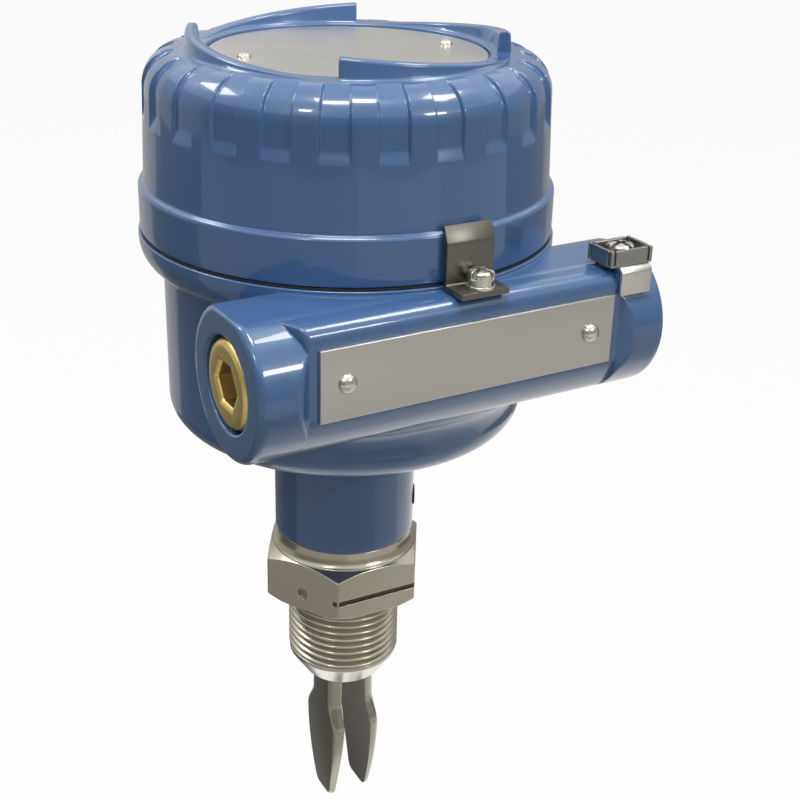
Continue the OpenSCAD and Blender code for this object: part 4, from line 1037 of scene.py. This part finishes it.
inside = {
    "cassette": moulded("cassette_red", (0.30, 0.035, 0.03), (0.36, 0.05, 0.04), 0.42),
    "terminal_block": moulded("terminal_green", (0.03, 0.15, 0.06), (0.045, 0.19, 0.08), 0.4),
    "mode_dial": moulded("dial_ivory", (0.62, 0.58, 0.48), (0.70, 0.67, 0.57), 0.38),
    "status_lens": moulded("lens_red", (0.55, 0.03, 0.02), (0.66, 0.05, 0.03), 0.12),
    "piezo_rings": moulded("fired_ceramic", (0.62, 0.58, 0.48), (0.72, 0.69, 0.6), 0.5),
    "cassette_screws": nickel.material,
    "terminal_screws": nickel.material,
    "stack_nut": stainless.material,
    "electrode_rings": brass.material,
    "inner_earth_screw": brass.material,
}
for name, material in inside.items():
    dress(material, name)

# Studio
# White table and backdrop, three ceiling panels and two small front lamps. Grey cards lie and stand
# all round, out of the camera's sight, so the enamel and the bare metal have a room to mirror.


def lamp(name, spot, aim, wide, high, power):
    data = bpy.data.lights.new(name, "AREA")
    data.shape, data.size, data.size_y = "RECTANGLE", wide, high
    data.energy, data.color = power, (1.0, 0.99, 0.96)
    made = bpy.data.objects.new(name, data)
    made.location = spot
    made.rotation_euler = (Vector(aim) - Vector(spot)).to_track_quat("-Z", "Y").to_euler()
    bpy.context.scene.collection.objects.link(made)


lamp("panel_left", (-0.60, 0.66, 1.10), (0, 0, 0.12), 0.50, 0.25, 3.5)
lamp("panel_near", (-0.17, -0.28, 1.41), (0, 0, 0.12), 0.50, 0.25, 8.5)
lamp("panel_right", (0.62, -0.20, 1.30), (0, 0, 0.12), 0.50, 0.25, 4.5)
lamp("front_left", (-0.74, -0.54, 0.87), (0, 0, 0.04), 0.12, 0.12, 1.1)
lamp("front_right", (0.40, -0.98, 0.64), (0, -0.05, 0.08), 0.26, 0.12, 1.8)


def white_when_seen(tree):
    """Share of plain white: all of it to the camera and in mirrors, none to other rays."""
    path = tree.add("ShaderNodeLightPath")
    seen = path.out("Is Camera Ray") + path.out("Is Glossy Ray") + path.out("Is Transmission Ray")
    return tree.math("MINIMUM", seen, 1.0)


def cleared(owner):
    """The empty node tree of a world or of a material."""
    owner.use_nodes = True
    owner.node_tree.nodes.clear()
    return Graph(owner.node_tree)


world = bpy.data.worlds.new("white_backdrop")
bpy.context.scene.world = world
tree = cleared(world)
dim = tree.add("ShaderNodeBackground", (), {"Color": (0.9, 0.94, 1.0, 1), "Strength": 0.10})
white = tree.add("ShaderNodeBackground", (), {"Color": (1, 1, 1, 1), "Strength": 1.0})
mixed = tree.add("ShaderNodeMixShader", (), {0: white_when_seen(tree), 1: dim, 2: white})
tree.add("ShaderNodeOutputWorld", (), {0: mixed})

paper = bpy.data.materials.new("white_table")
tree = cleared(paper)
matt = tree.add("ShaderNodeBsdfDiffuse", (), {"Color": (0.80, 0.80, 0.80, 1)})
white = tree.add("ShaderNodeEmission", (), {"Color": (1, 1, 1, 1), "Strength": 1.0})
mixed = tree.add("ShaderNodeMixShader", (), {0: white_when_seen(tree) * 0.95, 1: matt, 2: white})
tree.add("ShaderNodeOutputMaterial", (), {0: mixed})


def stage_sheet(name, corners, material):
    """A flat piece of the studio, (x, y, z) in metres."""
    mesh = bpy.data.meshes.new(name)
    mesh.from_pydata(corners, [], [list(range(len(corners)))])
    mesh.materials.append(material)
    made = bpy.data.objects.new(name, mesh)
    bpy.context.scene.collection.objects.link(made)
    return made


table_half, table_z = 4, -0.22
corners = [(table_half * i, table_half * j, table_z) for i, j in ((-1, -1), (1, -1), (1, 1), (-1, 1))]
stage_sheet("table_top", corners, paper)


def card(name, shade, corners):
    """A matt card of an even shade, out of the camera's sight and casting no shadow."""
    board = bpy.data.materials.new(name)
    tree = cleared(board)
    matt = tree.add("ShaderNodeBsdfDiffuse", (), {"Color": (0.40, 0.40, 0.40, 1)})
    glow = tree.add("ShaderNodeEmission", (), {"Color": (*shade, 1), "Strength": 1.0})
    mixed = tree.add("ShaderNodeMixShader", (), {0: white_when_seen(tree), 1: matt, 2: glow})
    tree.add("ShaderNodeOutputMaterial", (), {0: mixed})
    made = stage_sheet(name, corners, board)
    made.visible_camera = made.visible_shadow = False


def round_about(turn, far, high, wide):
    """The two ends of a card that stands across one direction, seen from the object."""
    sides = [math.radians(turn + side * wide / 2) for side in (-1, 1)]
    return [(far * math.cos(a), far * math.sin(a), high) for a in sides]


# By direction, front -90 and right 0: shade of the table near the foot, further out and far out,
# then of the wall
room = {
    -90: (0.55, 0.40, 0.75, 0.40), -45: (0.75, 0.60, 0.65, 0.40), 0: (0.95, 0.90, 0.20, 0.40),
    45: (0.95, 0.90, 0.35, 0.40), 90: (0.20, 0.15, 0.45, 0.62), 135: (0.12, 0.12, 0.14, 0.50),
    180: (0.35, 0.40, 0.50, 0.25), 225: (0.50, 0.42, 0.55, 0.30),
}
edges = [(0.13, -0.217), (0.34, -0.216), (0.56, -0.214), (1.9, -0.21), (2.0, 1.0)]
for turn, shades in room.items():
    for place, shade, (r0, z0), (r1, z1) in zip(("near", "middle", "far", "wall"), shades, edges, edges[1:]):
        first, last = (round_about(turn, far, high, 360 / len(room)) for far, high in ((r0, z0), (r1, z1)))
        card(f"{place}_card_{turn}", (shade, shade * 0.985, shade * 0.95), [*first, *last[::-1]])

# Camera
# The camera stands close, in front, to the left and a little above, with the object upright in a
# square frame.

frame_px, focal_px, sensor = 800, 1386.1, 36.0
data = bpy.data.cameras.new("viewpoint")
data.sensor_width, data.lens = sensor, focal_px / frame_px * sensor
data.clip_start, data.clip_end = 0.02, 20
camera = bpy.data.objects.new("viewpoint", data)
forward = Vector((0.4666, 0.7809, -0.4154)).normalized()
right = Vector((0.8639, -0.5031, 0.0247))
right = (right - forward * right.dot(forward)).normalized()
up = right.cross(forward)
facing = Matrix((right, up, -forward)).transposed().to_4x4()
camera.matrix_world = Matrix.Translation((-0.1706, -0.3159, 0.2231)) @ facing
bpy.context.scene.collection.objects.link(camera)
bpy.context.scene.camera = camera
bpy.context.scene.view_settings.view_transform = "Standard"
